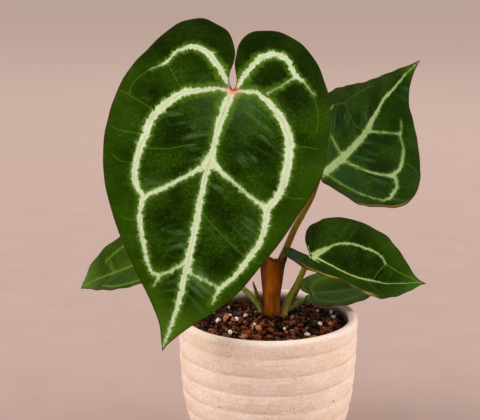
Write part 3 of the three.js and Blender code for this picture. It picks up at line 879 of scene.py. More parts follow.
@dataclass(frozen=True)
class DrySheath:
    """Dried sheath: orange-brown fibrous paper, darker at its ends, with painted shade on its flanks away
    from its middle.
    """

    name: str = "dried_sheath"
    light: Colour = paint(190, 108, 18)
    body: Colour = paint(146, 76, 10)
    dark: Colour = paint(62, 24, 4)
    foot_height: float = 0.091
    rim_height: float = 0.120
    # The painted shade on the flanks: the middle it darkens away from, its half width and its strength
    middle: float = 0.0032
    half_width: float = 0.0068
    aside: float = 0.9
    shine: Colour = paint(230, 190, 130)
    fibre_scale: Stretch = (900.0, 900.0, 45.0)
    blot_scale: Stretch = (190.0, 190.0, 80.0)
    fibre_depth: float = 0.0003

    def material(self) -> Material:
        """Builds the material.

        Returns:
            The finished material.
        """
        skin = Paint(self.name)
        here = skin.here()
        east, _, height = skin.parts(here)
        fibres = skin.noise(skin.stretch(here, self.fibre_scale), 1.0, 3.0)
        blots = skin.noise(skin.stretch(here, self.blot_scale), 1.0)
        skin.colour = skin.mix(skin.rise(blots, 0.4, 0.65), self.body, self.light)
        skin.lay(self.dark, skin.rise(fibres, 0.42, 0.72), 0.4)
        # Painted shade: the flanks darken away from the middle, as if turned from the light
        off = skin.calc("ABSOLUTE", skin.calc("SUBTRACT", east, self.middle))
        beside = skin.rise(off, self.half_width * 0.35, self.half_width)
        skin.lay(self.dark, beside, self.aside)
        foot = skin.rise(height, self.foot_height, self.foot_height - 0.006)
        rim = skin.times(skin.rise(height, self.rim_height - 0.008, self.rim_height + 0.006), 0.7)
        skin.lay(self.dark, skin.calc("MAXIMUM", foot, rim), 0.7)
        folds = skin.bump(fibres, self.fibre_depth)
        return skin.coat(0.5, folds, Specular_IOR_Level=0.25, Specular_Tint=self.shine)


@dataclass(frozen=True)
class CrownSkin:
    """The ringed bark of the crown and its paler roots."""

    name: str = "crown_bark"
    bark: Colour = paint(96, 62, 34)
    root: Colour = paint(190, 160, 118)
    dark: Colour = paint(60, 36, 20)
    lump_scale: float = 420.0
    lump_depth: float = 0.0006
    root_heights: Span = (0.068, 0.055)

    def material(self) -> Material:
        """Builds the material.

        Returns:
            The finished material.
        """
        skin = Paint(self.name)
        here = skin.here()
        lumps = skin.noise(here, self.lump_scale, 3.0)
        skin.colour = self.bark
        skin.lay(self.root, skin.rise(skin.parts(here)[2], *self.root_heights), 0.8)
        skin.lay(self.dark, lumps, 0.5)
        return skin.coat(0.8, skin.bump(lumps, self.lump_depth), Specular_IOR_Level=0.2)


@dataclass(frozen=True)
class Stoneware:
    """Stoneware with an off-white wash: pinkish clay in the grooves, clouds of wash on the bands, specks, and
    painted shade on the wall inside.

    Heights and radii are in metres. Each kind of speck has its scale, the share of places without one, its
    size and its strength.
    """

    name: str = "washed_stoneware"
    clay: Colour = paint(206, 166, 140)
    wash: Colour = paint(244, 226, 214)
    cream: Colour = paint(238, 210, 188)
    speck: Colour = paint(104, 76, 60)
    # The colour of the painted shade on the wall inside
    inner_shade: Colour = paint(62, 38, 24)
    pitch: float = 0.0113
    valley: float = 0.080
    last_groove: Span = (0.0865, 0.084)
    lip: Span = (0.0862, 0.0885)
    inner_wall: Span = (0.0512, 0.0498)
    inner_shade_top: Span = (0.0884, 0.0848)
    inner_shade_foot: Span = (0.06, 0.064)
    cloud_scale: Stretch = (70.0, 70.0, 150.0)
    mottle_scale: Stretch = (420.0, 420.0, 300.0)
    worn_scale: Stretch = (35.0, 35.0, 90.0)
    weave_scale: Stretch = (1300.0, 1300.0, 700.0)
    specks: tuple[tuple[float, float, float, float], ...] = (
        (210.0, 0.8, 0.15, 0.8), (420.0, 0.62, 0.19, 0.6))

    def material(self) -> Material:
        """Builds the material.

        Returns:
            The finished material.
        """
        skin = Paint(self.name)
        here = skin.here()
        height = skin.parts(here)[2]
        clouds = skin.noise(skin.stretch(here, self.cloud_scale), 1.0, 5.0)
        mottle = skin.noise(skin.stretch(here, self.mottle_scale), 1.0, 3.0)
        patchy = skin.calc("MULTIPLY_ADD", mottle, 0.4, skin.times(clouds, 0.6))
        skin.colour = skin.mix(skin.rise(patchy, 0.38, 0.66), self.cream, self.wash)

        worn = skin.rise(skin.noise(skin.stretch(here, self.worn_scale), 1.0), 0.4, 0.62)
        grooves = skin.rise(self.wave(skin, here), 0.32, 0.0)
        bare = skin.calc("MULTIPLY_ADD", worn, 0.34, 0.12)
        skin.lay(self.clay, grooves, skin.rise(height, *self.last_groove), bare)
        weave = skin.noise(skin.stretch(here, self.weave_scale), 1.0)
        skin.lay(self.clay, skin.rise(weave, 0.5, 0.7), 0.34)
        for scale, least, size, strength in self.specks:
            away, own, *_ = skin.cells(here, scale)
            chosen = skin.rise(skin.parts(own)[0], least, least + 0.03)
            skin.lay(self.speck, skin.rise(away, size, size * 0.5), chosen, strength)
        skin.lay(self.wash, skin.rise(height, *self.lip), 0.35)

        # Painted shade on the wall inside, fading out below the lip
        inside = skin.rise(skin.length(skin.stretch(here, (1.0, 1.0, 0.0))), *self.inner_wall)
        inner_shade = skin.times(skin.rise(height, *self.inner_shade_top), skin.rise(height, *self.inner_shade_foot))
        skin.lay(self.inner_shade, inside, inner_shade, 0.9)
        grit = skin.bump(weave, 0.00028)
        return skin.coat(0.6, skin.bump(patchy, 0.0006, grit), Specular_IOR_Level=0.35)

    def wave(self, skin: Paint, here: Socket) -> Socket:
        """Follows the bands of the pot, with the drift of a hand-laid wash.

        Args:
            skin: The material under construction.
            here: The place on the pot.

        Returns:
            A number from 0 in the grooves to 1 on the bands.
        """
        drift = skin.times(skin.calc("SUBTRACT", skin.noise(here, 22.0), 0.5), 0.004)
        height = skin.calc("ADD", skin.parts(here)[2], drift)
        level = skin.calc("DIVIDE", skin.calc("SUBTRACT", self.valley, height), self.pitch)
        return skin.calc("ABSOLUTE", skin.calc("SINE", skin.times(level, math.pi)))


@dataclass(frozen=True)
class BarkMix:
    """Damp bark: each chip has a tone of its own, from near black through red-brown to a few pinkish ones."""

    name: str
    dark: Colour = paint(18, 6, 2)
    brown: Colour = paint(138, 68, 30)
    pink: Colour = paint(214, 140, 98)
    shine: Colour = paint(240, 180, 130)
    depth: float = 0.0003
    bark_scale: Stretch = (700.0, 700.0, 1500.0)
    shaded_rear: Span = (0.004, 0.036)

    def material(self) -> Material:
        """Builds the material.

        Returns:
            The finished material.
        """
        skin = Paint(self.name)
        here = skin.here()
        tone = skin.number("tone")
        bark = skin.noise(skin.stretch(here, self.bark_scale), 1.0, 3.0)
        skin.colour = skin.mix(skin.rise(tone, 0.3, 0.75), self.dark, self.brown)
        skin.lay(self.pink, skin.rise(tone, 0.76, 1.0))
        skin.lay(self.dark, skin.rise(bark, 0.4, 0.7), 0.5)
        skin.lay(self.dark, skin.rise(skin.parts(here)[1], *self.shaded_rear), 0.6)
        rough = skin.bump(bark, self.depth)
        return skin.coat(0.5, rough, Specular_IOR_Level=0.14, Specular_Tint=self.shine)


@dataclass(frozen=True)
class WhiteGrain:
    """White puffed mineral grains, slightly stained."""

    name: str = "white_grains"
    white: Colour = paint(252, 246, 238)
    stain: Colour = paint(222, 200, 182)
    pit_scale: float = 1500.0
    pit_depth: float = 0.0003

    def material(self) -> Material:
        """Builds the material.

        Returns:
            The finished material.
        """
        skin = Paint(self.name)
        pits = skin.noise(skin.here(), self.pit_scale, 3.0)
        skin.colour = self.white
        skin.lay(self.stain, skin.rise(pits, 0.5, 0.75), 0.6)
        return skin.coat(0.85, skin.bump(pits, self.pit_depth), Specular_IOR_Level=0.3)


@dataclass(frozen=True)
class PaleFloor:
    """The pale, slightly mottled floor, with painted light that lightens it further back."""

    name: str = "pale_floor"
    tone: Colour = paint(184, 158, 150)
    shade: Colour = paint(172, 146, 138)
    # The colour of the painted light further back
    far: Colour = paint(222, 194, 184)
    mottle_scale: float = 26.0
    fade: Span = (0.0, 2.4)

    def material(self) -> Material:
        """Builds the material.

        Returns:
            The finished material.
        """
        skin = Paint(self.name)
        here = skin.here()
        skin.colour = skin.mix(skin.noise(here, self.mottle_scale, 5.0), self.tone, self.shade)
        # Painted light: lighter further back, making up for the lamps' falloff
        skin.lay(self.far, skin.rise(skin.parts(here)[1], *self.fade))
        return skin.coat(0.9, None, Specular_IOR_Level=0.2)


# Blades


@dataclass(frozen=True)
class Half:
    """One half of a blade.

    Fold is its rise from the midrib, cup its curvature per mm, and curl the upward curvature of its lobe
    per mm. The outline runs from the notch round the lobe to the tip, in shares of the midrib's length.
    """

    fold: float
    cup: float
    curl: float
    outline: Outline


@dataclass(frozen=True)
class Veins:
    """A blade's painted veins, each a line of places in shares of the midrib's length and a width in mm."""

    main: tuple[Line, ...]
    fine: tuple[Outline, ...] = ()


@dataclass(frozen=True)
class Blade:
    """A heart-shaped blade with its place, its two halves and its veins.

    Headings are counter-clockwise from +X, the drop is below the horizontal, and the roll turns the blade
    about its midrib. A place on the blade is flat: out from the midrib and forth along it, in millimetres.
    """

    name: str
    attach: Place
    heading: float
    drop: float
    roll: float
    length: float
    bow: float
    sway: float
    ripple: float
    ripple_length: float
    halves: tuple[Half, Half]
    veins: Veins
    finish: VelvetBlade
    rows: int = 130
    columns: int = 44
    thickness: float = 0.8
    margin_thickness: float = 0.36
    margin_taper: float = 3.0
    rib_depth: float = 0.7
    rib_radius: float = 1.6
    rib_fade: float = 0.8
    side_rib_depth: float = 0.25
    side_rib_radius: float = 1.1
    valley_radius: float = 1.5
    seat: float = 2.5
    outline_steps: int = 900
    row_lead: float = 0.02
    row_crowding: float = 0.95
    lobe_swing: float = 0.8
    lobe_swings: Span = (0.2, 1.5)
    ripple_reach: float = 0.4
    ripple_limit: float = 1.2
    ripple_shift: float = 1.3
    side_vein_rise: float = 0.45
    vein_web: float = 0.7
    quilting: float = 0.32
    quilt_reach: float = 4.5
    calm_margin: Span = (0.5, 7)
    vein_body: float = 1.2
    pleated: Span = (1, 5)
    pleat_depth: float = 0.1
    pleat_length: float = 5.2
    pleat_lean: float = 0.06
    pleat_shift: float = 1.7
    frill: float = 0.35
    frill_length: float = 9.0
    frill_reach: float = 3.5

    def axes(self) -> tuple[Array, Array, Array]:
        """Works out how the blade lies.

        Returns:
            The directions across the blade, along its midrib and out of its face.
        """
        heading, drop, roll = (math.radians(angle) for angle in (self.heading, self.drop, self.roll))
        east, north = math.cos(heading), math.sin(heading)
        along = np.array([east * math.cos(drop), north * math.cos(drop), -math.sin(drop)])
        level = np.array([east * math.sin(drop), north * math.sin(drop), math.cos(drop)])
        face = level * math.cos(roll) + np.cross(along, level) * math.sin(roll)
        return np.cross(along, face), along, face

    def surface(self, side: int, out: Array, forth: Array) -> Array:
        """Bends flat places of one half into space.

        Args:
            side: Which half, 0 or 1.
            out: How far each place is from the midrib.
            forth: How far it is along the midrib from the notch.

        Returns:
            The places in space, on the blade's middle surface.
        """
        half = self.halves[side]
        bend = np.where(forth < 0, half.curl or NO_BEND, self.bow or NO_BEND)
        turn = bend * forth
        cup = half.cup or NO_BEND
        raised = np.hypot(out, self.valley_radius) - self.valley_radius
        sideways = (np.sin(half.fold + cup * out) - math.sin(half.fold)) / cup
        share = np.minimum(np.abs(out) / (self.ripple_reach * self.length), self.ripple_limit)
        wave = np.sin(2 * math.pi * forth / self.ripple_length + self.ripple_shift * side)
        rise = (math.cos(half.fold) - np.cos(half.fold + cup * raised)) / cup + self.ripple * share**3 * wave
        swing = self.sway * (1 - np.cos(2 * math.pi * np.clip(forth / self.length, 0, 1))) / 2
        chord = 0.5 * self.bow * self.length
        ahead = np.sin(turn) / bend - np.sin(turn) * rise
        up = (1 - np.cos(turn)) / bend + np.cos(turn) * rise
        across, along, face = self.axes()
        return (
            np.array(self.attach)
            + ((1 if side == 0 else -1) * sideways + swing)[..., None] * across
            + (ahead * math.cos(chord) + up * math.sin(chord))[..., None] * along
            + (up * math.cos(chord) - ahead * math.sin(chord))[..., None] * face
        )

    def normal(self, side: int, out: Array, forth: Array) -> Array:
        """Works out which way the face looks at flat places of one half.

        Args:
            side: Which half, 0 or 1.
            out: How far each place is from the midrib.
            forth: How far it is along the midrib.

        Returns:
            The direction out of the face at each place.
        """
        step = 0.05
        behind = np.where(forth < 0, forth - step, np.maximum(forth - step, 0))
        across = self.surface(side, out + step, forth) - self.surface(side, out - step, forth)
        along = self.surface(side, out, forth + step) - self.surface(side, out, behind)
        normal = np.cross(across, along) * (1 if side == 0 else -1)
        return normal / np.linalg.norm(normal, axis=-1, keepdims=True)

    def edge(self, side: int) -> Array:
        """The outline of one half, evenly spaced from the notch to the tip."""
        outline = through(np.array(self.halves[side].outline), self.outline_steps) * self.length
        return evenly(outline, self.rows + 1)

    def flat_places(self) -> tuple[Array, Array]:
        """Lays rows of places over both halves, which meet along the midrib.

        Returns:
            How far out and how far forth each place is, each as halves by rows by columns.
        """
        edges = np.stack([self.edge(side) for side in (0, 1)])
        led = (edges[..., 1] + self.row_lead * self.length) / (1 + self.row_lead)
        leaning = led - self.side_vein_rise * np.maximum(edges[..., 0], 0)
        starts = np.where(edges[..., 1] > 0, np.maximum(leaning, 0), 0)
        start = np.maximum.accumulate(starts.mean(axis=0))
        share = (np.arange(self.columns + 1) / self.columns) ** self.row_crowding
        out = share * edges[..., 0, None]
        forth = start[None, :, None] + share * (edges[..., 1, None] - start[None, :, None])
        # Rows into a lobe swing out of the notch first, and never back past the row before them
        lobe = edges[..., 1] < 0
        heading = np.where(lobe, np.arctan2(edges[..., 0], -edges[..., 1]), 0)
        swung = np.where(lobe, heading + self.lobe_swing * (1 - smooth(heading, *self.lobe_swings)), 0)
        furthest = np.maximum.accumulate(swung, axis=1)
        turn = (np.where(lobe, furthest - heading, 0))[..., None] * (1 - share)
        at_stalk = (start == 0)[None, :, None]
        swung_out = np.where(at_stalk, out * np.cos(turn) - forth * np.sin(turn), out)
        swung_forth = np.where(at_stalk, forth * np.cos(turn) + out * np.sin(turn), forth)
        return swung_out, swung_forth

    def nearest(self, places: Array, line: Array) -> tuple[Array, Array, Array]:
        """Measures flat places from a line.

        Args:
            places: The places, out (negative on the second half) and forth.
            line: The line's points: out, forth and half its width there.

        Returns:
            The distance from the line's painted edge, from its middle, and how far along it the nearest
            point is, which is far beyond its length on its right side.
        """
        reach = np.concatenate([[0], np.cumsum(np.linalg.norm(np.diff(line[:, :2], axis=0), axis=1))])
        edge = np.full(len(places), FAR)
        middle = np.full(len(places), FAR)
        run = np.zeros(len(places))
        for (start, end), (first, last) in zip(zip(line, line[1:]), zip(reach, reach[1:])):
            way = end[:2] - start[:2]
            offset = places - start[:2]
            share = np.clip(offset @ way / max(way @ way, 1e-9), 0, 1)
            away = offset - share[:, None] * way
            distance = np.hypot(away[:, 0], away[:, 1])
            clear = distance - (start[2] + share * (end[2] - start[2]))
            right = offset[:, 0] * way[1] - offset[:, 1] * way[0] > 0
            closer = clear < edge
            edge = np.where(closer, clear, edge)
            middle = np.where(closer, distance, middle)
            run = np.where(closer, first + share * (last - first) + RIGHT_SIDE * right, run)
        return edge, middle, run

    def measures(self, out: Array, forth: Array) -> dict[str, Array]:
        """Measures every place for the painting of the blade.

        Args:
            out: How far each place is from the midrib, by half, row and column.
            forth: How far it is along the midrib.

        Returns:
            The blade's attributes by name, in the same layout.
        """
        signed = out * np.array([1, -1])[:, None, None]
        places = np.stack([signed.ravel(), forth.ravel()], axis=1)
        edges, runs, middles = [], [], []
        for number, vein in enumerate(self.veins.main):
            points = np.array(vein) * np.array([self.length, self.length, 0.5])
            edge, middle, run = self.nearest(places, through(points, VEIN_STEPS * len(points)))
            edges.append(edge)
            middles.append(middle)
            runs.append(run + VEIN_SHIFT * number)
        stacked = np.stack(edges)
        # Veins that meet are webbed together, and the clip keeps their powers within range
        webbed = np.exp(-np.clip(stacked, -20, 60) / self.vein_web).sum(axis=0)
        joined = -self.vein_web * np.log(webbed)
        first = stacked.argmin(axis=0)
        fine = np.full(len(places), NO_VEIN)
        across = np.full(len(places), NO_VEIN)
        for vein in self.veins.fine:
            points = np.column_stack([np.array(vein) * self.length, np.zeros(len(vein))])
            away, _, run = self.nearest(places, through(points, VEIN_STEPS * len(points)))
            across = np.where(away < fine, np.where(run < RIGHT_SIDE, away, -away), across)
            fine = np.minimum(fine, away)
        margin = np.empty(out.shape)
        for side in (0, 1):
            line = np.column_stack([self.edge(side), np.zeros(self.rows + 1)])
            half = np.stack([out[side].ravel(), forth[side].ravel()], axis=1)
            margin[side] = self.nearest(half, line)[0].reshape(out.shape[1:])
        shape = out.shape
        return {
            "vein": joined.reshape(shape),
            "middle": np.stack(middles).min(axis=0).reshape(shape),
            "run": np.take_along_axis(np.stack(runs), first[None], axis=0)[0].reshape(shape),
            "rib": middles[0].reshape(shape),
            "fine": fine.reshape(shape),
            "across": across.reshape(shape),
            "margin": margin,
            "flat": np.stack([signed, forth, np.zeros(shape)], axis=-1),
        }

    def relief(self, side: int, measured: Mapping[str, Array]) -> Array:
        """How far the face stands out of the middle surface beyond its thickness, on one half.

        Args:
            side: Which half, 0 or 1.
            measured: The blade's attributes.

        Returns:
            Millimetres out of the face, for each place.
        """
        margin = measured["margin"][side]
        away = np.maximum(measured["vein"][side] + self.vein_body, 0)
        flat = measured["flat"][side]
        inside = smooth(margin, *self.calm_margin)
        quilts = self.quilting * (1 - np.exp(-((away / self.quilt_reach) ** 2)))
        slant = flat[..., 1] - self.side_vein_rise * np.abs(flat[..., 0])
        lean = self.pleat_lean * flat[..., 0]
        pleats = self.pleat_depth * np.sin(
            2 * math.pi * slant / self.pleat_length + lean + self.pleat_shift * side)
        return inside * (quilts + pleats * smooth(away, *self.pleated))

    def build(self) -> Piece:
        """Makes the blade, with a face, an underside with its midrib, and a thin margin.

        Returns:
            The piece.
        """
        out, forth = self.flat_places()
        measured = self.measures(out, forth)
        face, under = [], []
        for side in (0, 1):
            middle = self.surface(side, out[side], forth[side])
            normal = self.normal(side, out[side], forth[side])
            margin = measured["margin"][side]
            body = smooth(margin, 0, self.margin_taper)
            thick = self.margin_thickness + (self.thickness - self.margin_thickness) * body
            along = np.where(forth[side] < 0, np.maximum(0, 1 + forth[side] / (3 * self.rib_radius)),
                             1 - self.rib_fade * forth[side] / self.length)
            rib = self.rib_depth * np.exp(-((out[side] / self.rib_radius) ** 2)) * along
            off = np.maximum(measured["vein"][side] + 1, 0)
            raised = self.side_rib_depth * np.exp(-((off / self.side_rib_radius) ** 2))
            run = np.linspace(0, 1, self.rows + 1)[:, None] * self.length
            waves = np.sin(2 * math.pi * run / self.frill_length)
            frill = self.frill * np.exp(-margin / self.frill_reach) * waves
            lift = (frill + self.relief(side, measured))[..., None] * normal
            face.append(middle + thick[..., None] / 2 * normal + lift)
            under.append(middle - (thick / 2 + np.maximum(rib, raised))[..., None] * normal + lift)
        return self.sew(np.stack(face), np.stack(under), measured)

    def sew(self, face: Array, under: Array, measured: Mapping[str, Array]) -> Piece:
        """Joins the two sheets of a blade into one closed piece.

        Args:
            face: The points of the face, by half, row and column.
            under: The points of the underside.
            measured: The blade's attributes.

        Returns:
            The piece, dressed in its finish.
        """
        points = np.concatenate([face.reshape(-1, 3), under.reshape(-1, 3)])
        count = len(points) // 2
        grid = np.arange(count).reshape(face.shape[:3])
        quads = []
        for side in (0, 1):
            cell = grid[side]
            a, b, c, d = cell[:-1, :-1], cell[:-1, 1:], cell[1:, 1:], cell[1:, :-1]
            upper = np.stack([a, b, c, d] if side == 0 else [a, d, c, b], axis=-1).reshape(-1, 4)
            quads += [upper, upper[:, ::-1] + count]
            low, high = cell[:-1, -1], cell[1:, -1]
            rim = np.stack([low, low + count, high + count, high], axis=-1)
            quads.append(rim if side == 0 else rim[:, ::-1])
        piece = new_mesh(f"leaf_{self.name}", points, np.concatenate(quads).tolist())
        for name, values in measured.items():
            rows = values.reshape(count, -1) if values.ndim == 4 else values.reshape(count)
            mark(piece, name, np.concatenate([rows, rows]))
        mark(piece, "upper", np.repeat([1.0, 0.0], count))
        shape = bmesh.new()
        shape.from_mesh(piece.data)
        bmesh.ops.remove_doubles(shape, verts=shape.verts, dist=SAME_POINT)
        bmesh.ops.dissolve_degenerate(shape, edges=shape.edges, dist=NO_LENGTH)
        shape.to_mesh(piece.data)
        shape.free()
        piece.data.materials.append(self.finish.material())
        return piece


# Stalks


class Skin(Enum):
    """The colourings that a stalk can have."""

    BROWN = StalkSkin("stalk_brown", paint(126, 78, 20), paint(156, 136, 42))
    OLIVE = StalkSkin("stalk_olive", paint(168, 158, 74), paint(152, 164, 48))
    GREEN = StalkSkin("stalk_green", paint(146, 154, 72), paint(112, 134, 50))


@dataclass(frozen=True)
class Stalk:
    """A round stalk with a narrower foot and a swollen joint under its blade."""

    blade: Blade
    base_radius: float
    tip_radius: float
    route: Line
    skin: Skin
    steps: int = 220
    sides: int = 28
    gap: float = 0.3
    straight_end: float = 2.4
    knee_at: float = 0.95
    knee_spread: float = 0.05
    knee_swell: float = 0.14
    foot_spread: float = 0.12
    foot_narrowing: float = 0.08
    uneven: float = 0.12

    def radius(self, share: Array) -> Array:
        """Works out how thick the stalk is.

        Args:
            share: Shares of its length, from the foot.

        Returns:
            Its radius there.
        """
        knee = np.exp(-(((share - self.knee_at) / self.knee_spread) ** 2))
        foot = np.exp(-((share / self.foot_spread) ** 2))
        plain = self.base_radius + (self.tip_radius - self.base_radius) * np.sqrt(share)
        return plain * (1 + self.knee_swell * knee - self.foot_narrowing * foot)

    def line(self) -> Array:
        """Lays the stalk's middle line, from the mix to the blade's underside.

        Returns:
            Its points, evenly spaced.
        """
        blade = self.blade
        seat = blade.surface(0, np.array(0.0), np.array(blade.seat))
        down = -blade.normal(0, np.array(0.0), np.array(blade.seat))
        depth = blade.thickness / 2 + blade.rib_depth + self.gap
        before = seat + down * (depth + self.straight_end * self.tip_radius)
        return along_route(np.vstack([self.route, before, seat + down * depth]), self.steps)

    def build(self, tree: Recipe) -> Piece:
        """Draws the stalk out along its line.

        Args:
            tree: The tree that does it.

        Returns:
            The piece.
        """
        share = np.linspace(0, 1, self.steps)
        line = new_line("route", self.line(), girth=self.radius(share) * MM, along=share)
        piece = tree.make(
            f"stalk_{self.blade.name}", line,
            Sides=self.sides, Uneven=self.uneven * MM, Finish=self.skin.value.material(),
        )
        turn_outwards(piece)
        return piece


# Sheath and scales


@dataclass(frozen=True)
class Sheath:
    """The dry papery sheath round the two tall stalks, open and forked at its top.

    Each section has its height, its middle and its half widths. Each set of ribs has a depth, a count round
    the sheath, a twist and a shift.
    """

    sections: tuple[tuple[float, ...], ...] = (
        (86.4, 3, 8.6, 5.6, 6.4), (95, 2.5, 8.1, 4.9, 6.6), (106, 2.5, 7.8, 6.2, 6.3),
        (117, 2.7, 7.6, 7.4, 5.9), (124, 3.4, 7.9, 8.4, 5.3),
    )
    notch: float = 2.6
    slant: float = 3.4
    wall: float = 0.7
    mouth_depth: float = 5.0
    mouth_slope: float = 0.5
    mouth_floor: float = 3.4
    ribs: tuple[tuple[float, float, float, float], ...] = ((0.1, 11, 4, 0), (0.07, 23, -3, 1))
    seam_height: float = 0.35
    seam_at: float = 4.9
    seam_lean: float = 0.5
    seam_width: float = 0.16
    tear: float = 0.5
    nick: float = 0.3
    torn: Span = (0.72, 1.0)
    steps: int = 401
    rows: int = 90
    around: int = 120
    finish: DrySheath = DrySheath()

    def ring(self, share: float, inset: float, drop: float) -> Array:
        """One ring of the sheath.

        Args:
            share: How far up the sheath it is, from 0 to 1.
            inset: How far inside the outer surface it lies.
            drop: How far it is lowered.

        Returns:
            The ring's points.
        """
        turn = np.linspace(0, 2 * math.pi, self.around, endpoint=False)
        sections = through(np.array(self.sections, float), self.steps)
        shares = np.linspace(0, 1, self.steps)
        z, x, y, a, b = (np.interp(share, shares, sections[:, k]) for k in range(5))
        ribs = sum(depth * np.sin(count * turn + twist * share + shift)
                   for depth, count, twist, shift in self.ribs)
        off_seam = (turn - self.seam_at + self.seam_lean * share) / self.seam_width
        seam = self.seam_height * np.exp(-(off_seam**2))
        rim = self.notch * np.cos(2 * turn) - self.slant * np.cos(turn)
        tears = self.tear * np.sin(7 * turn + 1) * np.sin(13 * turn) - self.nick * np.abs(np.sin(19 * turn))
        top = smooth(np.array(share), *self.torn)
        return np.column_stack([
            x + (a + ribs + seam - inset) * np.cos(turn),
            y + (b + ribs + seam - inset) * np.sin(turn),
            z + (rim + tears) * top - drop,
        ])

    def build(self) -> Piece:
        """Makes the sheath: outside up to the rim, then down inside to a floor between the stalks.

        Returns:
            The piece.
        """
        rings = [self.ring(share, 0, 0) for share in np.linspace(0, 1, self.rows)]
        rings += [self.ring(1, self.wall * 0.5, -0.15), self.ring(1, self.wall, 0.15)]
        rings += [
            self.ring(1, self.wall + self.mouth_slope * k, self.mouth_depth * k / 4) for k in (1, 2, 3, 4)]
        rings += [self.ring(1, self.wall + self.mouth_floor, self.mouth_depth)]
        return closed_loft("sheath", rings, self.finish.material())


def closed_loft(name: str, rings: Sequence[Array], skin: Material) -> Piece:
    """Joins rings of points into a closed piece.

    Args:
        name: The piece's name.
        rings: The rings, each with the same number of points.
        skin: Its finish.

    Returns:
        The piece.
    """
    count = len(rings[0])
    points = np.vstack([*rings, rings[0].mean(axis=0), rings[-1].mean(axis=0)])
    faces = []
    for level in range(len(rings) - 1):
        for k in range(count):
            a, b = level * count + k, level * count + (k + 1) % count
            faces.append((a, b, b + count, a + count))
    last = (len(rings) - 1) * count
    for k in range(count):
        faces.append((k, (k + 1) % count, len(points) - 2))
        faces.append((last + (k + 1) % count, last + k, len(points) - 1))
    piece = new_mesh(name, points, faces)
    turn_outwards(piece)
    piece.data.materials.append(skin)
    return piece


@dataclass(frozen=True)
class Scale:
    """A small dried scale beside the stalks, pointed and curved inwards."""

    name: str
    base: Place
    tip: Place
    turn: float
    width: float = 2.6
    thickness: float = 0.8
    bulge: float = 1.6
    last_ring: float = 0.995
    blunt: float = 0.35
    furrow: float = 0.16
    rows: int = 48
    around: int = 20
    finish: DrySheath = DrySheath(
        "dried_scale", paint(150, 130, 62), paint(118, 96, 44), paint(86, 62, 28), 0.0885, 0.1, aside=0.0)

    def build(self) -> Piece:
        """Makes the scale.

        Returns:
            The piece.
        """
        start, end = np.array(self.base, float), np.array(self.tip, float)
        turn = math.radians(self.turn)
        side = np.array([math.cos(turn), math.sin(turn), 0])
        out = np.cross(side, [0, 0, 1])
        rings = []
        for share in np.linspace(0, self.last_ring, self.rows):
            centre = start + (end - start) * share + out * self.bulge * math.sin(math.pi * share)
            half = self.width / 2 * math.sqrt(1 - share**2) + self.blunt * (1 - 0.7 * share)
            around = np.linspace(0, 2 * math.pi, self.around, endpoint=False)
            furrow = self.furrow * np.cos(2 * math.pi * np.cos(around) * 1.5)
            thick = self.thickness / 2 * (1 - 0.45 * share) * (1 + furrow)
            rings.append(
                centre + half * np.cos(around)[:, None] * side - (thick * np.sin(around))[:, None] * out)
        return closed_loft(self.name, rings, self.finish.material())


# Pot and mix


@dataclass(frozen=True)
class Pot:
    """The banded stoneware pot, with a rounded lip, a real inside and a solid floor.

    The body is a curve of radii and heights. Each kind of wheel line has its depth and its pitch.
    """

    height: float = 90
    floor: float = 8
    wall: float = 5.4
    foot_radius: float = 35
    lip_radius: float = 54.4
    lip_start: float = 87.2
    body: Outline = ((39, 2.2), (43, 9), (48.3, 24), (52, 41), (53.6, 60), (54.3, 77), (54.4, 86))
    pitch: float = 11.3
    first_valley: float = 80
    band_depth: float = 0.55
    recess: float = 0.1
    wheel_lines: Outline = ((0.05, 1.9), (0.03, 0.83))
    outer_wall: Span = (2.6, 84.8)
    calm_foot: Span = (2.6, 6)
    calm_top: Span = (85.5, 83)
    inner_wall: Span = (84, 15)
    curve_steps: int = 1200
    wall_points: int = 400
    lip_points: int = 40
    inner_points: int = 60
    turns: int = 193
    rows: int = 380
    waver: float = 1.1
    finish: Stoneware = Stoneware()

    def radius(self, height: Array) -> Array:
        """The body's radius at a height, without its bands."""
        curve = through(np.array(self.body, float), self.curve_steps)
        return np.interp(height, curve[:, 1], curve[:, 0])

    def bands(self, height: Array) -> Array:
        """Works out the relief of the bands and of the fine lines that the wheel left.

        Args:
            height: Heights above the foot.

        Returns:
            How far the surface stands out from the body there, below 0 in the grooves.
        """
        wave = np.abs(np.sin(math.pi * (self.first_valley - height) / self.pitch))
        lines = sum(depth * np.sin(2 * math.pi * height / pitch) for depth, pitch in self.wheel_lines)
        return -self.band_depth * (1 - wave) ** 1.5 - self.recess + lines

    def profile(self) -> Array:
        """Lays the pot's section, from the middle of its foot over the lip to its floor.

        Returns:
            Its points, as radius and height.
        """
        heights = np.linspace(*self.outer_wall, self.wall_points)
        calm = smooth(heights, *self.calm_foot) * smooth(heights, *self.calm_top)
        outside = np.column_stack([self.radius(heights) + self.bands(heights) * calm, heights])
        turn = np.linspace(0, math.pi, self.lip_points)
        half = self.wall / 2
        lip = np.column_stack([
            self.lip_radius - half + half * np.cos(turn),
            self.lip_start + (self.height - self.lip_start) * np.sin(turn),
        ])
        levels = np.linspace(*self.inner_wall, self.inner_points)
        inside = np.column_stack([self.radius(levels) - self.wall, levels])
        foot = np.array([(0, 0), (0, 0), (2, 0.35), (2.9, 1)])
        foot[1:, 0] += self.foot_radius
        ground = np.array([(33, self.floor + 1.6), (28, self.floor), (0, self.floor)])
        return np.vstack([foot, outside, lip, inside, ground])

    def build(self) -> Piece:
        """Turns the pot from its profile.

        Returns:
            The piece.
        """
        radius, height = self.profile().T
        line = new_line("pot_section", np.column_stack([radius, np.zeros(len(radius)), height]))
        piece = turning_tree().make(
            "stoneware_pot", line,
            Turns=self.turns, Rows=self.rows, Waver=self.waver * MM, Finish=self.finish.material(),
        )
        turn_outwards(piece)
        return piece


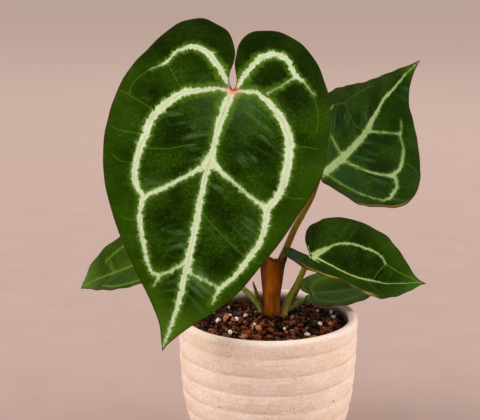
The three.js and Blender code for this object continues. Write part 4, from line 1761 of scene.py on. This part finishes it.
@dataclass(frozen=True)
class Mix:
    """The bark mix: a low mound strewn with chips and crumbs of bark and with white grains."""

    pot: Pot
    stalks: tuple[Stalk, ...]
    crown: tuple[float, float] = (3, 8.5)
    edge_height: float = 83
    mound: float = 5
    spread: float = 21
    gap: float = 0.3
    clods: float = 0.5
    small_clods: float = 0.35
    floor_rings: Outline = ((28, 8.3), (32.7, 9.75))
    wall_levels: tuple[float, ...] = (15, 26, 40, 55, 70, 82.6)
    body_drop: float = 0.6
    body_tone: float = 0.3
    fine_clods: float = 0.25
    sheet_size: float = 96
    sheet_drop: float = 0.3
    wall_room: Span = (46.2, 45.4)
    crown_room: Span = (7.4, 8.4)
    stalk_room: Span = (0.6, 2.2)
    grain_lift: float = 1.5
    rough_enough: float = 0.1
    blockiness: Span = (0.35, 0.75)
    roundness: float = 0.92
    lump_sizes: Span = (0.75, 1.25)
    rings: int = 70
    around: int = 150
    seed: int = 4
    grains: Outline = (
        (-24.3, 27.9), (-23.2, 10), (-19.1, -0.8), (-13.6, 4.3), (-8.2, -10.4), (-30.5, 1.4), (-22.9, -20),
        (9.5, -15), (31.4, -5.5), (31.6, 20.4), (39.8, 17.8), (40.6, 10), (22.6, -23.5), (-34, 18), (35, -26),
    )

    def height(self, x: Array, y: Array) -> Array:
        """Works out how high the mix is.

        Args:
            x: How far right each place is.
            y: How far back it is.

        Returns:
            The height of the mix there.
        """
        away = np.hypot(x - self.crown[0], y - self.crown[1])
        clods = self.clods * np.sin(x / 3.1 + 1) * np.cos(y / 2.7)
        clods = clods + self.small_clods * np.sin(x / 1.7 + y / 2.3)
        return self.edge_height + self.mound * np.exp(-((away / self.spread) ** 2)) + clods

    def ground(self) -> Piece:
        """Makes the body of the mix, closed down to the pot's floor.

        Returns:
            The piece.
        """
        levels = np.array(self.wall_levels, float)
        walls = np.column_stack([self.pot.radius(levels) - self.pot.wall - self.gap, levels])
        section = np.vstack([self.floor_rings, walls])
        turn = np.linspace(0, 2 * math.pi, self.around, endpoint=False)
        circle = np.column_stack([np.cos(turn), np.sin(turn)])
        rings = [np.column_stack([circle * radius, np.full(self.around, level)]) for radius, level in section]
        for share in np.linspace(0.99, 0.02, self.rings):
            x, y = (circle * section[-1, 0] * share).T
            fine = self.fine_clods * np.sin(x * 2.3) * np.sin(y * 2.1 + 1)
            rings.append(np.column_stack([x, y, self.height(x, y) + fine - self.body_drop]))
        piece = closed_loft("potting_mix", rings, BarkMix("fine_mix", depth=0.0008).material())
        mark(piece, "tone", np.full(len(piece.data.vertices), self.body_tone))
        return piece

    def surface(self) -> Piece:
        """Makes the sheet that the chips are strewn on, with no room at the stalks, sheath and wall.

        Returns:
            The sheet, with the room for chips at each point.
        """
        half, count = self.sheet_size / 2, int(self.sheet_size) + 1
        side = np.linspace(-half, half, count)
        x, y = (grid.ravel() for grid in np.meshgrid(side, side))
        points = np.column_stack([x, y, self.height(x, y) - self.sheet_drop])
        faces = [(r * count + c, r * count + c + 1, (r + 1) * count + c + 1, (r + 1) * count + c)
                 for r in range(count - 1) for c in range(count - 1)]
        sheet = new_mesh("strewn_sheet", points, faces)
        room = smooth(np.hypot(x, y), *self.wall_room)
        room *= smooth(np.hypot(x - self.crown[0], y - self.crown[1]), *self.crown_room)
        for stalk in self.stalks:
            line = stalk.line()[:120]
            low = line[line[:, 2] < self.height(line[:, 0], line[:, 1]) + 5]
            away = np.min(np.hypot(x[:, None] - low[:, 0], y[:, None] - low[:, 1]), axis=1)
            room *= smooth(away, *(stalk.base_radius + gap for gap in self.stalk_room))
        mark(sheet, "room", room)
        return sheet

    def kinds(self, name: str, count: int, shape: Stretch, rough: float, cuts: int) -> bpy.types.Collection:
        """Makes a few broken lumps to strew, in a collection of their own.

        Args:
            name: The collection's name.
            count: How many there are.
            shape: Their length, width and height.
            rough: How uneven they are, as a share of their size.
            cuts: How many times a lump's faces are divided.

        Returns:
            The collection, which no scene shows.
        """
        store = bpy.data.collections.new(name)
        chance = np.random.default_rng(self.seed + count)
        for number in range(count):
            lump = bmesh.new()
            bmesh.ops.create_icosphere(lump, subdivisions=cuts, radius=0.5)
            blocky = chance.uniform(*self.blockiness) if rough > self.rough_enough else self.roundness
            stretch = np.array(shape) * chance.uniform(*self.lump_sizes, 3)
            for point in lump.verts:
                place = np.array(point.co) * 2
                boxed = np.sign(place) * np.abs(place) ** blocky * 0.5
                point.co = (boxed * stretch * (1 + chance.uniform(-rough, rough, 3))) * MM
            mesh = bpy.data.meshes.new(f"{name}_{number}")
            lump.to_mesh(mesh)
            lump.free()
            store.objects.link(bpy.data.objects.new(mesh.name, mesh))
        return store

    def strew(self) -> list[Piece]:
        """Strews chips and crumbs of bark over the mix, and sets the white grains out.

        Returns:
            The chips, the crumbs and the grains, each as one piece.
        """
        tree = strewing_tree()
        chips = tree.make(
            "bark_chips", self.surface(),
            Pieces=self.kinds("chip_kinds", 9, (6.0, 4.0, 1.9), 0.22, 2), Apart=3.1 * MM, Crowd=240000.0,
            Small=0.5, Large=1.2, Tilt=0.9, Sunk=0.9 * MM, Seed=self.seed,
            Finish=BarkMix("bark_chips").material(),
        )
        crumbs = tree.make(
            "bark_crumbs", self.surface(),
            Pieces=self.kinds("crumb_kinds", 6, (1.9, 1.3, 1.0), 0.2, 1), Apart=1.7 * MM, Crowd=600000.0,
            Small=0.6, Large=1.5, Tilt=1.5, Sunk=-1.0 * MM, Seed=self.seed + 20,
            Finish=BarkMix("bark_crumbs", brown=paint(92, 42, 20), pink=paint(166, 102, 70)).material(),
        )
        places = np.array(self.grains, float)
        heights = self.height(places[:, 0], places[:, 1]) + self.grain_lift
        spots = new_line("grain_spots", np.column_stack([places, heights]))
        grains = setting_tree().make(
            "white_grains", spots, Pieces=self.kinds("grain_kinds", 5, (3.1, 2.9, 2.6), 0.06, 3),
            Small=0.6, Large=1.0, Seed=self.seed, Finish=WhiteGrain().material(),
        )
        return [chips, crumbs, grains]


# The five leaves

FRONT_VEINS = Veins(
    main=(
        ((0, 0, 3), (0.01, 0.06, 5.6), (0.014, 0.12, 4.8), (0.016, 0.151, 4.4), (0.013, 0.24, 3.8),
         (0.015, 0.29, 5.5), (0.015, 0.36, 3.4), (0.005, 0.493, 4.2), (-0.003, 0.617, 4.0),
         (-0.007, 0.725, 3.6), (-0.011, 0.832, 2.8), (-0.004, 0.925, 1.8), (0, 0.985, 0.6)),
        ((0, 0.004, 1.6), (0.05, 0.012, 2.2), (0.095, 0.03, 3.0), (0.171, 0.063, 4.4), (0.223, 0.122, 4.8),
         (0.258, 0.183, 4.6), (0.268, 0.265, 4.4), (0.272, 0.345, 4.2), (0.262, 0.42, 3.6),
         (0.217, 0.484, 3.0), (0.205, 0.557, 3.0), (0.172, 0.632, 2.6), (0.121, 0.727, 1.8),
         (0.085, 0.741, 1.4), (0.092, 0.781, 0.6)),
        ((0.015, 0.296, 6), (0.034, 0.314, 4), (0.06, 0.344, 2.6), (0.102, 0.384, 2.4), (0.155, 0.433, 2.6),
         (0.213, 0.483, 2.6)),
        ((-0.003, 0.66, 2), (0.039, 0.708, 1.6), (0.085, 0.741, 1.2)),
        ((0, 0.002, 1.8), (-0.05, -0.006, 2.2), (-0.093, -0.01, 2.8), (-0.153, 0.023, 4.0),
         (-0.208, 0.069, 5.0), (-0.25, 0.136, 5.6), (-0.264, 0.212, 5.4), (-0.267, 0.307, 4.8),
         (-0.255, 0.36, 4.2), (-0.233, 0.403, 4.4), (-0.241, 0.452, 4.0), (-0.239, 0.528, 3.4),
         (-0.215, 0.594, 3.6), (-0.184, 0.669, 2.8), (-0.142, 0.731, 2.2), (-0.128, 0.788, 0.8)),
        ((0.01, 0.288, 5.6), (-0.014, 0.302, 4), (-0.04, 0.318, 2.6), (-0.109, 0.351, 1.8),
         (-0.166, 0.379, 2.0), (-0.233, 0.403, 3.2)),
        ((-0.006, 0.665, 2.2), (-0.027, 0.703, 1.6), (-0.079, 0.714, 1.2), (-0.142, 0.731, 1.4)),
        ((0, 0, 1.4), (0.031, -0.025, 3.1), (0.078, -0.074, 3.8), (0.132, -0.113, 4.0), (0.186, -0.12, 3.2),
         (0.237, -0.088, 1.8), (0.263, -0.039, 1.9), (0.29, -0.01, 0.6), (0.314, 0.007, 0.1)),
        ((0, 0, 1.4), (-0.014, -0.02, 2.6), (-0.033, -0.081, 3.0), (-0.067, -0.147, 3.8),
         (-0.112, -0.178, 4.0), (-0.166, -0.171, 3.3), (-0.209, -0.123, 3.1), (-0.253, -0.1, 1.0),
         (-0.292, -0.066, 0.3)),
        ((-0.211, -0.114, 1.4), (-0.166, -0.059, 0.4), (-0.129, -0.02, 0.6)),
    ),
    fine=(
        ((0.314, 0.007), (0.352, 0.059), (0.366, 0.098), (0.362, 0.128)),
        ((0.263, -0.039), (0.235, 0), (0.194, 0.043), (0.173, 0.055)),
        ((-0.292, -0.066), (-0.32, -0.019), (-0.334, 0.021), (-0.34, 0.07)),
        ((-0.27, 0.161), (-0.304, 0.141), (-0.351, 0.135)),
        ((-0.012, 0.48), (-0.05, 0.511), (-0.13, 0.558), (-0.199, 0.598)),
        ((0.25, 0.305), (0.171, 0.285), (0.129, 0.263), (0.087, 0.246)),
        ((0.262, 0.255), (0.299, 0.26), (0.358, 0.265), (0.385, 0.262)),
        ((0.266, 0.156), (0.32, 0.138), (0.363, 0.125), (0.4, 0.117)),
        ((0.27, 0.36), (0.32, 0.375), (0.36, 0.36)),
        ((-0.266, 0.33), (-0.31, 0.34), (-0.35, 0.33)),
        ((0.205, 0.557), (0.24, 0.575), (0.27, 0.57)),
        ((-0.215, 0.594), (-0.245, 0.605), (-0.27, 0.6)),
    ),
)

REAR_VEINS = Veins(
    main=(
        ((0, 0, 5.5), (0.018, 0.1, 5), (0.028, 0.205, 4.6), (0.032, 0.31, 4.2), (0.03, 0.43, 3.6),
         (0.018, 0.495, 3.3), (-0.004, 0.592, 3), (-0.027, 0.678, 2.7), (-0.018, 0.748, 2.4),
         (-0.02, 0.823, 1.7), (-0.019, 0.893, 1), (-0.006, 0.955, 0.6), (0, 0.99, 0.4)),
        ((0, 0.014, 0.9), (0.052, 0.02, 0.3), (0.125, 0.024, 0.2), (0.224, 0.043, 0.3), (0.323, 0.087, 0.6),
         (0.358, 0.139, 1.4), (0.354, 0.185, 2.2), (0.349, 0.243, 1.8), (0.314, 0.29, 2.2),
         (0.29, 0.296, 3), (0.298, 0.356, 2.2), (0.282, 0.422, 1.8), (0.237, 0.504, 1.1),
         (0.182, 0.556, 0.9), (0.162, 0.602, 0.6), (0.133, 0.639, 0.5)),
        ((0.025, 0.17, 2.4), (0.061, 0.185, 1.6), (0.151, 0.212, 1.5), (0.218, 0.241, 1.5),
         (0.292, 0.293, 2)),
        ((0.03, 0.45, 1.8), (0.108, 0.511, 1.2), (0.176, 0.565, 0.9)),
        ((0.02, 0.22, 1.4), (-0.058, 0.197, 1.2), (-0.153, 0.154, 1)),
        ((0, 0, 2), (-0.09, -0.03, 2), (-0.2, -0.01, 2), (-0.29, 0.07, 1.4), (-0.317, 0.202, 0.8)),
    ),
    fine=(
        ((0.008, 0.44), (-0.07, 0.393), (-0.159, 0.363), (-0.262, 0.325), (-0.317, 0.202)),
        ((-0.262, 0.325), (-0.252, 0.422), (-0.194, 0.594)),
        ((0.358, 0.139), (0.4, 0.17), (0.43, 0.2)),
        ((0.282, 0.422), (0.33, 0.43), (0.37, 0.42)),
    ),
)

RIGHT_VEINS = Veins(
    main=(
        ((0, 0, 1.7), (0.01, 0.16, 1.4), (0.009, 0.27, 1.2), (0.002, 0.385, 1.2), (-0.008, 0.54, 1.1),
         (0.012, 0.663, 0.6), (0.013, 0.828, 0.4), (0, 0.96, 0.3)),
        ((0, 0, 4), (-0.06, 0.066, 3.6), (-0.11, 0.12, 1.5), (-0.143, 0.157, 1.1), (-0.19, 0.245, 1.1),
         (-0.216, 0.34, 1.1), (-0.219, 0.479, 1.1), (-0.187, 0.567, 0.9), (-0.143, 0.614, 1)),
        ((0, 0, 1.2), (0.03, 0.02, 0.8), (0.05, 0.05, 0.4)),
        ((0, 0, 2), (-0.03, -0.04, 1.2), (-0.06, -0.06, 0.4)),
    ),
    fine=(
        ((-0.143, 0.614), (-0.106, 0.692), (-0.06, 0.794), (-0.009, 0.937)),
        ((-0.143, 0.614), (-0.093, 0.574), (-0.033, 0.549), (-0.004, 0.56)),
    ),
)


def mirrored(line: Iterable[Sequence[float]]) -> tuple[tuple[float, ...], ...]:
    """The same line on the other half of a blade."""
    return tuple((-out, *rest) for out, *rest in line)


HEART_LOOP = (
    (0, 0, 1.4), (0.13, 0.03, 1.4), (0.22, 0.14, 1.4), (0.25, 0.3, 1.2), (0.21, 0.48, 1), (0.13, 0.65, 0.6))
HEART_LOBE = ((0, 0, 1.2), (0.06, -0.07, 1.4), (0.14, -0.1, 1.1), (0.2, -0.06, 0.6))
HEART_TIES = (((0, 0.3), (0.08, 0.37), (0.17, 0.46), (0.21, 0.48)), ((0, 0.55), (0.06, 0.6), (0.13, 0.65)))
HEART_VEINS = Veins(
    main=(
        ((0, 0, 1.6), (0.01, 0.3, 1.4), (0, 0.6, 1), (0, 0.95, 0.4)),
        HEART_LOOP, mirrored(HEART_LOOP), HEART_LOBE, mirrored(HEART_LOBE),
    ),
    fine=tuple(half for tie in HEART_TIES for half in (tie, mirrored(tie))),
)

FRONT = Blade(
    "front", attach=(-21, -10, 227.3), heading=-125, drop=63.8, roll=-36.4,
    length=154.5, bow=-0.0012, sway=0, ripple=1.3, ripple_length=38,
    halves=(
        Half(0.09, -0.0035, -0.002, (
            (0, 0), (0.02, -0.022), (0.028, -0.06), (0.0245, -0.102), (0.028, -0.142), (0.047, -0.185),
            (0.079, -0.221), (0.125, -0.237), (0.185, -0.242), (0.243, -0.214), (0.29, -0.164),
            (0.34, -0.083), (0.385, 0.01), (0.409, 0.1), (0.418, 0.185), (0.412, 0.29), (0.395, 0.371),
            (0.362, 0.466), (0.304, 0.568), (0.234, 0.669), (0.158, 0.758), (0.09, 0.835),
            (0.038, 0.905), (0.013, 0.965), (0, 1))),
        Half(0.07, -0.0035, -0.002, (
            (0, 0), (0.006, -0.022), (0.001, -0.05), (-0.019, -0.1), (-0.023, -0.138), (-0.024, -0.178),
            (-0.01, -0.22), (0.023, -0.253), (0.077, -0.27), (0.134, -0.273), (0.19, -0.257),
            (0.24, -0.228), (0.28, -0.192), (0.32, -0.14), (0.352, -0.083), (0.376, -0.01),
            (0.393, 0.09), (0.404, 0.186), (0.389, 0.28), (0.352, 0.392), (0.313, 0.505),
            (0.264, 0.614), (0.21, 0.728), (0.148, 0.812), (0.083, 0.88), (0.04, 0.932),
            (0.012, 0.972), (0, 1))),
    ),
    veins=FRONT_VEINS, finish=VelvetBlade("velvet_front"), rows=230, columns=80,
)

REAR = Blade(
    "rear", attach=(32.8, 18, 172.8), heading=45, drop=-33, roll=52,
    length=117, bow=0.0058, sway=1, ripple=0.7, ripple_length=30,
    halves=(
        Half(0.16, 0.002, 0.066, (
            (0, 0), (0.012, -0.045), (0.032, -0.095), (0.07, -0.14), (0.13, -0.16), (0.19, -0.145),
            (0.235, -0.1), (0.272, -0.04), (0.315, 0.015), (0.36, 0.05), (0.404, 0.096), (0.44, 0.16),
            (0.45, 0.237), (0.442, 0.307), (0.404, 0.421), (0.337, 0.518), (0.258, 0.613), (0.186, 0.685),
            (0.122, 0.74), (0.073, 0.802), (0.038, 0.87), (0.012, 0.94), (0, 1))),
        Half(0.8, 0.004, 0.03, (
            (0, 0), (0.014, -0.05), (0.03, -0.11), (0.08, -0.185), (0.16, -0.215), (0.25, -0.195),
            (0.34, -0.13), (0.402, -0.03), (0.425, 0.08), (0.415, 0.19), (0.376, 0.31), (0.325, 0.43),
            (0.26, 0.54), (0.2, 0.655), (0.117, 0.805), (0.049, 0.917), (0.018, 0.965), (0, 1))),
    ),
    veins=REAR_VEINS,
    finish=VelvetBlade(
        "velvet_rear", dark=paint(12, 34, 0), lit=paint(28, 58, 2), sheen=paint(64, 102, 56),
        rim_green=paint(24, 52, 0), vein=paint(184, 202, 146), vein_edge=paint(136, 170, 90),
        vigour=0.9, tooth=0.8, spread=0.6, spot=1.2, hem=1.8, line=0.3, tip=(96.0, 118.0),
    ),
)

RIGHT = Blade(
    "right", attach=(25.7, -4, 126.8), heading=24, drop=18, roll=62,
    length=86, bow=0.003, sway=6, ripple=0.5, ripple_length=24,
    halves=(
        Half(0.6, 0.021, 0.004, (
            (0, 0), (-0.003, -0.06), (-0.012, -0.13), (-0.018, -0.2), (-0.004, -0.245), (0.03, -0.268),
            (0.08, -0.272), (0.13, -0.258), (0.195, -0.225), (0.275, -0.165), (0.335, -0.065),
            (0.355, 0.07), (0.35, 0.19), (0.31, 0.33), (0.252, 0.475), (0.192, 0.632), (0.126, 0.788),
            (0.058, 0.9), (0.018, 0.965), (0, 1))),
        Half(0.5, -0.006, 0.035, (
            (0, 0), (0.02, -0.026), (0.046, -0.056), (0.076, -0.092), (0.115, -0.146), (0.152, -0.166),
            (0.205, -0.124), (0.254, -0.041), (0.298, 0.051), (0.342, 0.158), (0.367, 0.27), (0.382, 0.39),
            (0.354, 0.541), (0.293, 0.642), (0.207, 0.744), (0.108, 0.838), (0.031, 0.925), (0, 1))),
    ),
    veins=RIGHT_VEINS,
    finish=VelvetBlade(
        "velvet_right", dark=paint(8, 24, 0), lit=paint(26, 54, 0), sheen=paint(46, 80, 10),
        rim_green=paint(44, 78, 0), hem_brown=paint(156, 128, 44), vein=paint(204, 220, 158),
        vein_edge=paint(150, 186, 104), under=paint(132, 112, 50), fine=0.7, tooth=0.5, spread=0.3, spot=0.3,
        hem=8.0, hem_start=-20.0, hem_end=45.0, line=0.1, tip=(60.0, 94.0), bright=(14.0, 58.0),
    ),
)

LOW = Blade(
    "low", attach=(27.8, 18, 96.8), heading=12, drop=-3, roll=27,
    length=47, bow=-0.004, sway=1, ripple=0.4, ripple_length=16,
    halves=(
        Half(0.2, 0.0, 0.08, (
            (0, 0), (0.015, -0.05), (0.04, -0.1), (0.09, -0.13), (0.16, -0.12), (0.23, -0.06),
            (0.29, 0.04), (0.33, 0.17), (0.345, 0.31), (0.33, 0.45), (0.28, 0.6), (0.2, 0.75),
            (0.11, 0.88), (0.035, 0.965), (0, 1))),
        Half(0.1, 0.0, 0.1, (
            (0, 0), (0.015, -0.05), (0.04, -0.11), (0.1, -0.15), (0.18, -0.14), (0.26, -0.07),
            (0.32, 0.04), (0.35, 0.17), (0.355, 0.31), (0.33, 0.45), (0.275, 0.6), (0.195, 0.75),
            (0.105, 0.88), (0.035, 0.965), (0, 1))),
    ),
    veins=HEART_VEINS,
    finish=VelvetBlade(
        "velvet_low", dark=paint(22, 50, 0), lit=paint(54, 88, 8), sheen=paint(80, 112, 40),
        rim_green=paint(64, 96, 12), vein=paint(104, 136, 60), vein_edge=paint(86, 120, 46), vigour=0.3,
        fine=0.12, tooth=0.5, spread=0.4, spot=0.8, line=0.0, tip=(30.0, 50.0),
    ),
    rows=90, columns=32, quilting=0.15,
)

LEFT = Blade(
    "left", attach=(-56.7, 22, 120.2), heading=158, drop=23, roll=-43,
    length=75.5, bow=-0.01, sway=-3, ripple=0.6, ripple_length=22,
    halves=(
        Half(0.3, -0.008, 0.01, (
            (0, 0), (0.01, -0.05), (0.02, -0.11), (0.055, -0.19), (0.12, -0.232), (0.2, -0.215),
            (0.275, -0.145), (0.33, -0.04), (0.355, 0.08), (0.365, 0.2), (0.36, 0.33), (0.335, 0.47),
            (0.285, 0.61), (0.215, 0.75), (0.13, 0.87), (0.045, 0.955), (0, 1))),
        Half(0.25, 0.01, 0.01, (
            (0, 0), (0.01, -0.05), (0.018, -0.11), (0.05, -0.19), (0.115, -0.228), (0.19, -0.21),
            (0.26, -0.14), (0.305, -0.04), (0.325, 0.08), (0.325, 0.2), (0.305, 0.33), (0.26, 0.47),
            (0.2, 0.61), (0.13, 0.76), (0.065, 0.87), (0.02, 0.96), (0, 1))),
    ),
    veins=HEART_VEINS,
    finish=VelvetBlade(
        "velvet_left", dark=paint(26, 46, 0), lit=paint(50, 74, 2), sheen=paint(76, 102, 24),
        rim_green=paint(40, 64, 0), vein=paint(96, 122, 40), vein_edge=paint(88, 114, 34), vigour=0.6,
        fine=0.2, tooth=0.6, spread=0.5, spot=1.4, line=0.1, tip=(50.0, 76.0),
    ),
    rows=110, columns=38, quilting=0.2,
)

STALKS = (
    Stalk(FRONT, 2.7, 2.2, (
        (1.5, 5.6, 82), (1.2, 5.4, 95), (0.2, 5.6, 106), (-1.2, 6, 118), (-3.6, 6.6, 132), (-9, 7.5, 165),
        (-15, 5.5, 198)), Skin.BROWN),
    Stalk(REAR, 2.7, 1.8, (
        (4.6, 11, 82), (3.8, 10.6, 95), (4.6, 10, 106), (6.4, 9.4, 117), (11.6, 10.8, 129), (15.9, 13, 139),
        (21.8, 17, 149), (27.2, 20.5, 159)), Skin.BROWN),
    Stalk(RIGHT, 2.7, 1.7, (
        (9.2, 6.4, 81), (10.4, 7.2, 90), (13.4, 7.6, 98), (17.2, 7, 105), (20.8, 4.6, 114)), Skin.OLIVE),
    Stalk(LOW, 1.7, 1.3, ((9.6, 14.6, 82), (11.6, 14, 87), (15.6, 14.2, 90), (22, 16.6, 92.6)), Skin.GREEN),
    Stalk(LEFT, 1.9, 1.6, (
        (-2.8, 11, 81), (-4.2, 10.8, 89), (-7.8, 10.9, 95), (-14.5, 12.6, 101.5), (-28, 17.5, 109.5),
        (-43, 23, 114.8)), Skin.GREEN),
)

SCALES = (
    Scale("scale_left", (-3.6, 13.4, 85), (-9.2, 11.5, 107), 20),
    Scale("scale_right", (12.6, 16.4, 85), (20.6, 13.2, 104), -30),
)


# Studio


@dataclass(frozen=True)
class Lamp:
    """A square soft light that faces a point of the plant."""

    name: str
    place: Place
    size: float
    power: float
    tint: tuple[float, float, float] = (1.0, 0.97, 0.93)
    aim: Place = (0.0, 0.0, 0.12)

    def hang(self) -> None:
        """Adds the light."""
        light = bpy.data.lights.new(self.name, "AREA")
        light.size, light.energy, light.color = self.size, self.power, self.tint
        lamp = bpy.data.objects.new(self.name, light)
        bpy.context.scene.collection.objects.link(lamp)
        lamp.location = self.place
        way = np.array(self.aim) - np.array(self.place)
        lamp.rotation_mode = "XYZ"
        lamp.rotation_euler = (math.acos(-way[2] / np.linalg.norm(way)), 0, math.atan2(-way[0], way[1]))


@dataclass(frozen=True)
class Studio:
    """The pale floor, the soft light and the camera at the photograph's angle."""

    eye: Place = (-0.017, -0.686, 0.309)
    tilt: float = 77.3
    lens: float = 88.5
    sensor: float = 36.0
    clip: Span = (0.05, 60)
    floor_size: float = 30.0
    sky: Colour = (1.0, 0.96, 0.92, 1.0)
    sky_strength: float = 0.66
    film: str = "Standard"
    lamps: tuple[Lamp, ...] = (
        Lamp("window_light", (-1.5, -0.5, 1.3), 1.0, 27.0),
        Lamp("fill_light", (1.5, -0.3, 0.7), 1.0, 16.0),
        Lamp("back_light", (0.5, 1.1, 1.4), 1.0, 5.0),
    )

    def build(self) -> None:
        """Sets the stage up."""
        size = self.floor_size / 2 / MM
        corners = np.array([(-size, -size, 0), (size, -size, 0), (size, size, 0), (-size, size, 0)])
        floor = new_mesh("pale_floor", corners, [(0, 1, 2, 3)])
        floor.data.materials.append(PaleFloor().material())
        world = bpy.data.worlds.new("soft_sky")
        world.use_nodes = True
        backdrop = world.node_tree.nodes["Background"].inputs
        backdrop["Color"].default_value = self.sky
        backdrop["Strength"].default_value = self.sky_strength
        bpy.context.scene.world = world
        for lamp in self.lamps:
            lamp.hang()
        data = bpy.data.cameras.new("camera")
        data.lens, data.sensor_width = self.lens, self.sensor
        data.clip_start, data.clip_end = self.clip
        camera = bpy.data.objects.new("camera", data)
        camera.location = self.eye
        camera.rotation_euler = (math.radians(self.tilt), 0, 0)
        bpy.context.scene.collection.objects.link(camera)
        bpy.context.scene.camera = camera
        bpy.context.scene.view_settings.view_transform = self.film


def main() -> None:
    """Builds the studio, the pot and its mix, and the plant."""
    logging.basicConfig(level=logging.INFO, format="%(name)s: %(message)s")
    Studio().build()
    pot = Pot()
    hand_over(pot.build(), "stoneware", "pot")
    mix = Mix(pot, STALKS)
    hand_over(mix.ground(), "bark_mix", "soil")
    for piece in mix.strew():
        hand_over(piece, "bark_mix")
    hand_over(Sheath().build(), "dry_sheath", "sheath")
    for scale in SCALES:
        hand_over(scale.build(), "dry_sheath", scale.name)
    tree = drawing_tree()
    for stalk in STALKS:
        hand_over(stalk.build(tree), "stalk", f"stalk_{stalk.blade.name}")
        hand_over(stalk.blade.build(), "leaf_blade", f"leaf_{stalk.blade.name}")
    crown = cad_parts["crown_and_roots"]
    for slot in crown.material_slots:
        slot.material = CrownSkin().material()
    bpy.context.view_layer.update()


if __name__ == "__main__":
    main()
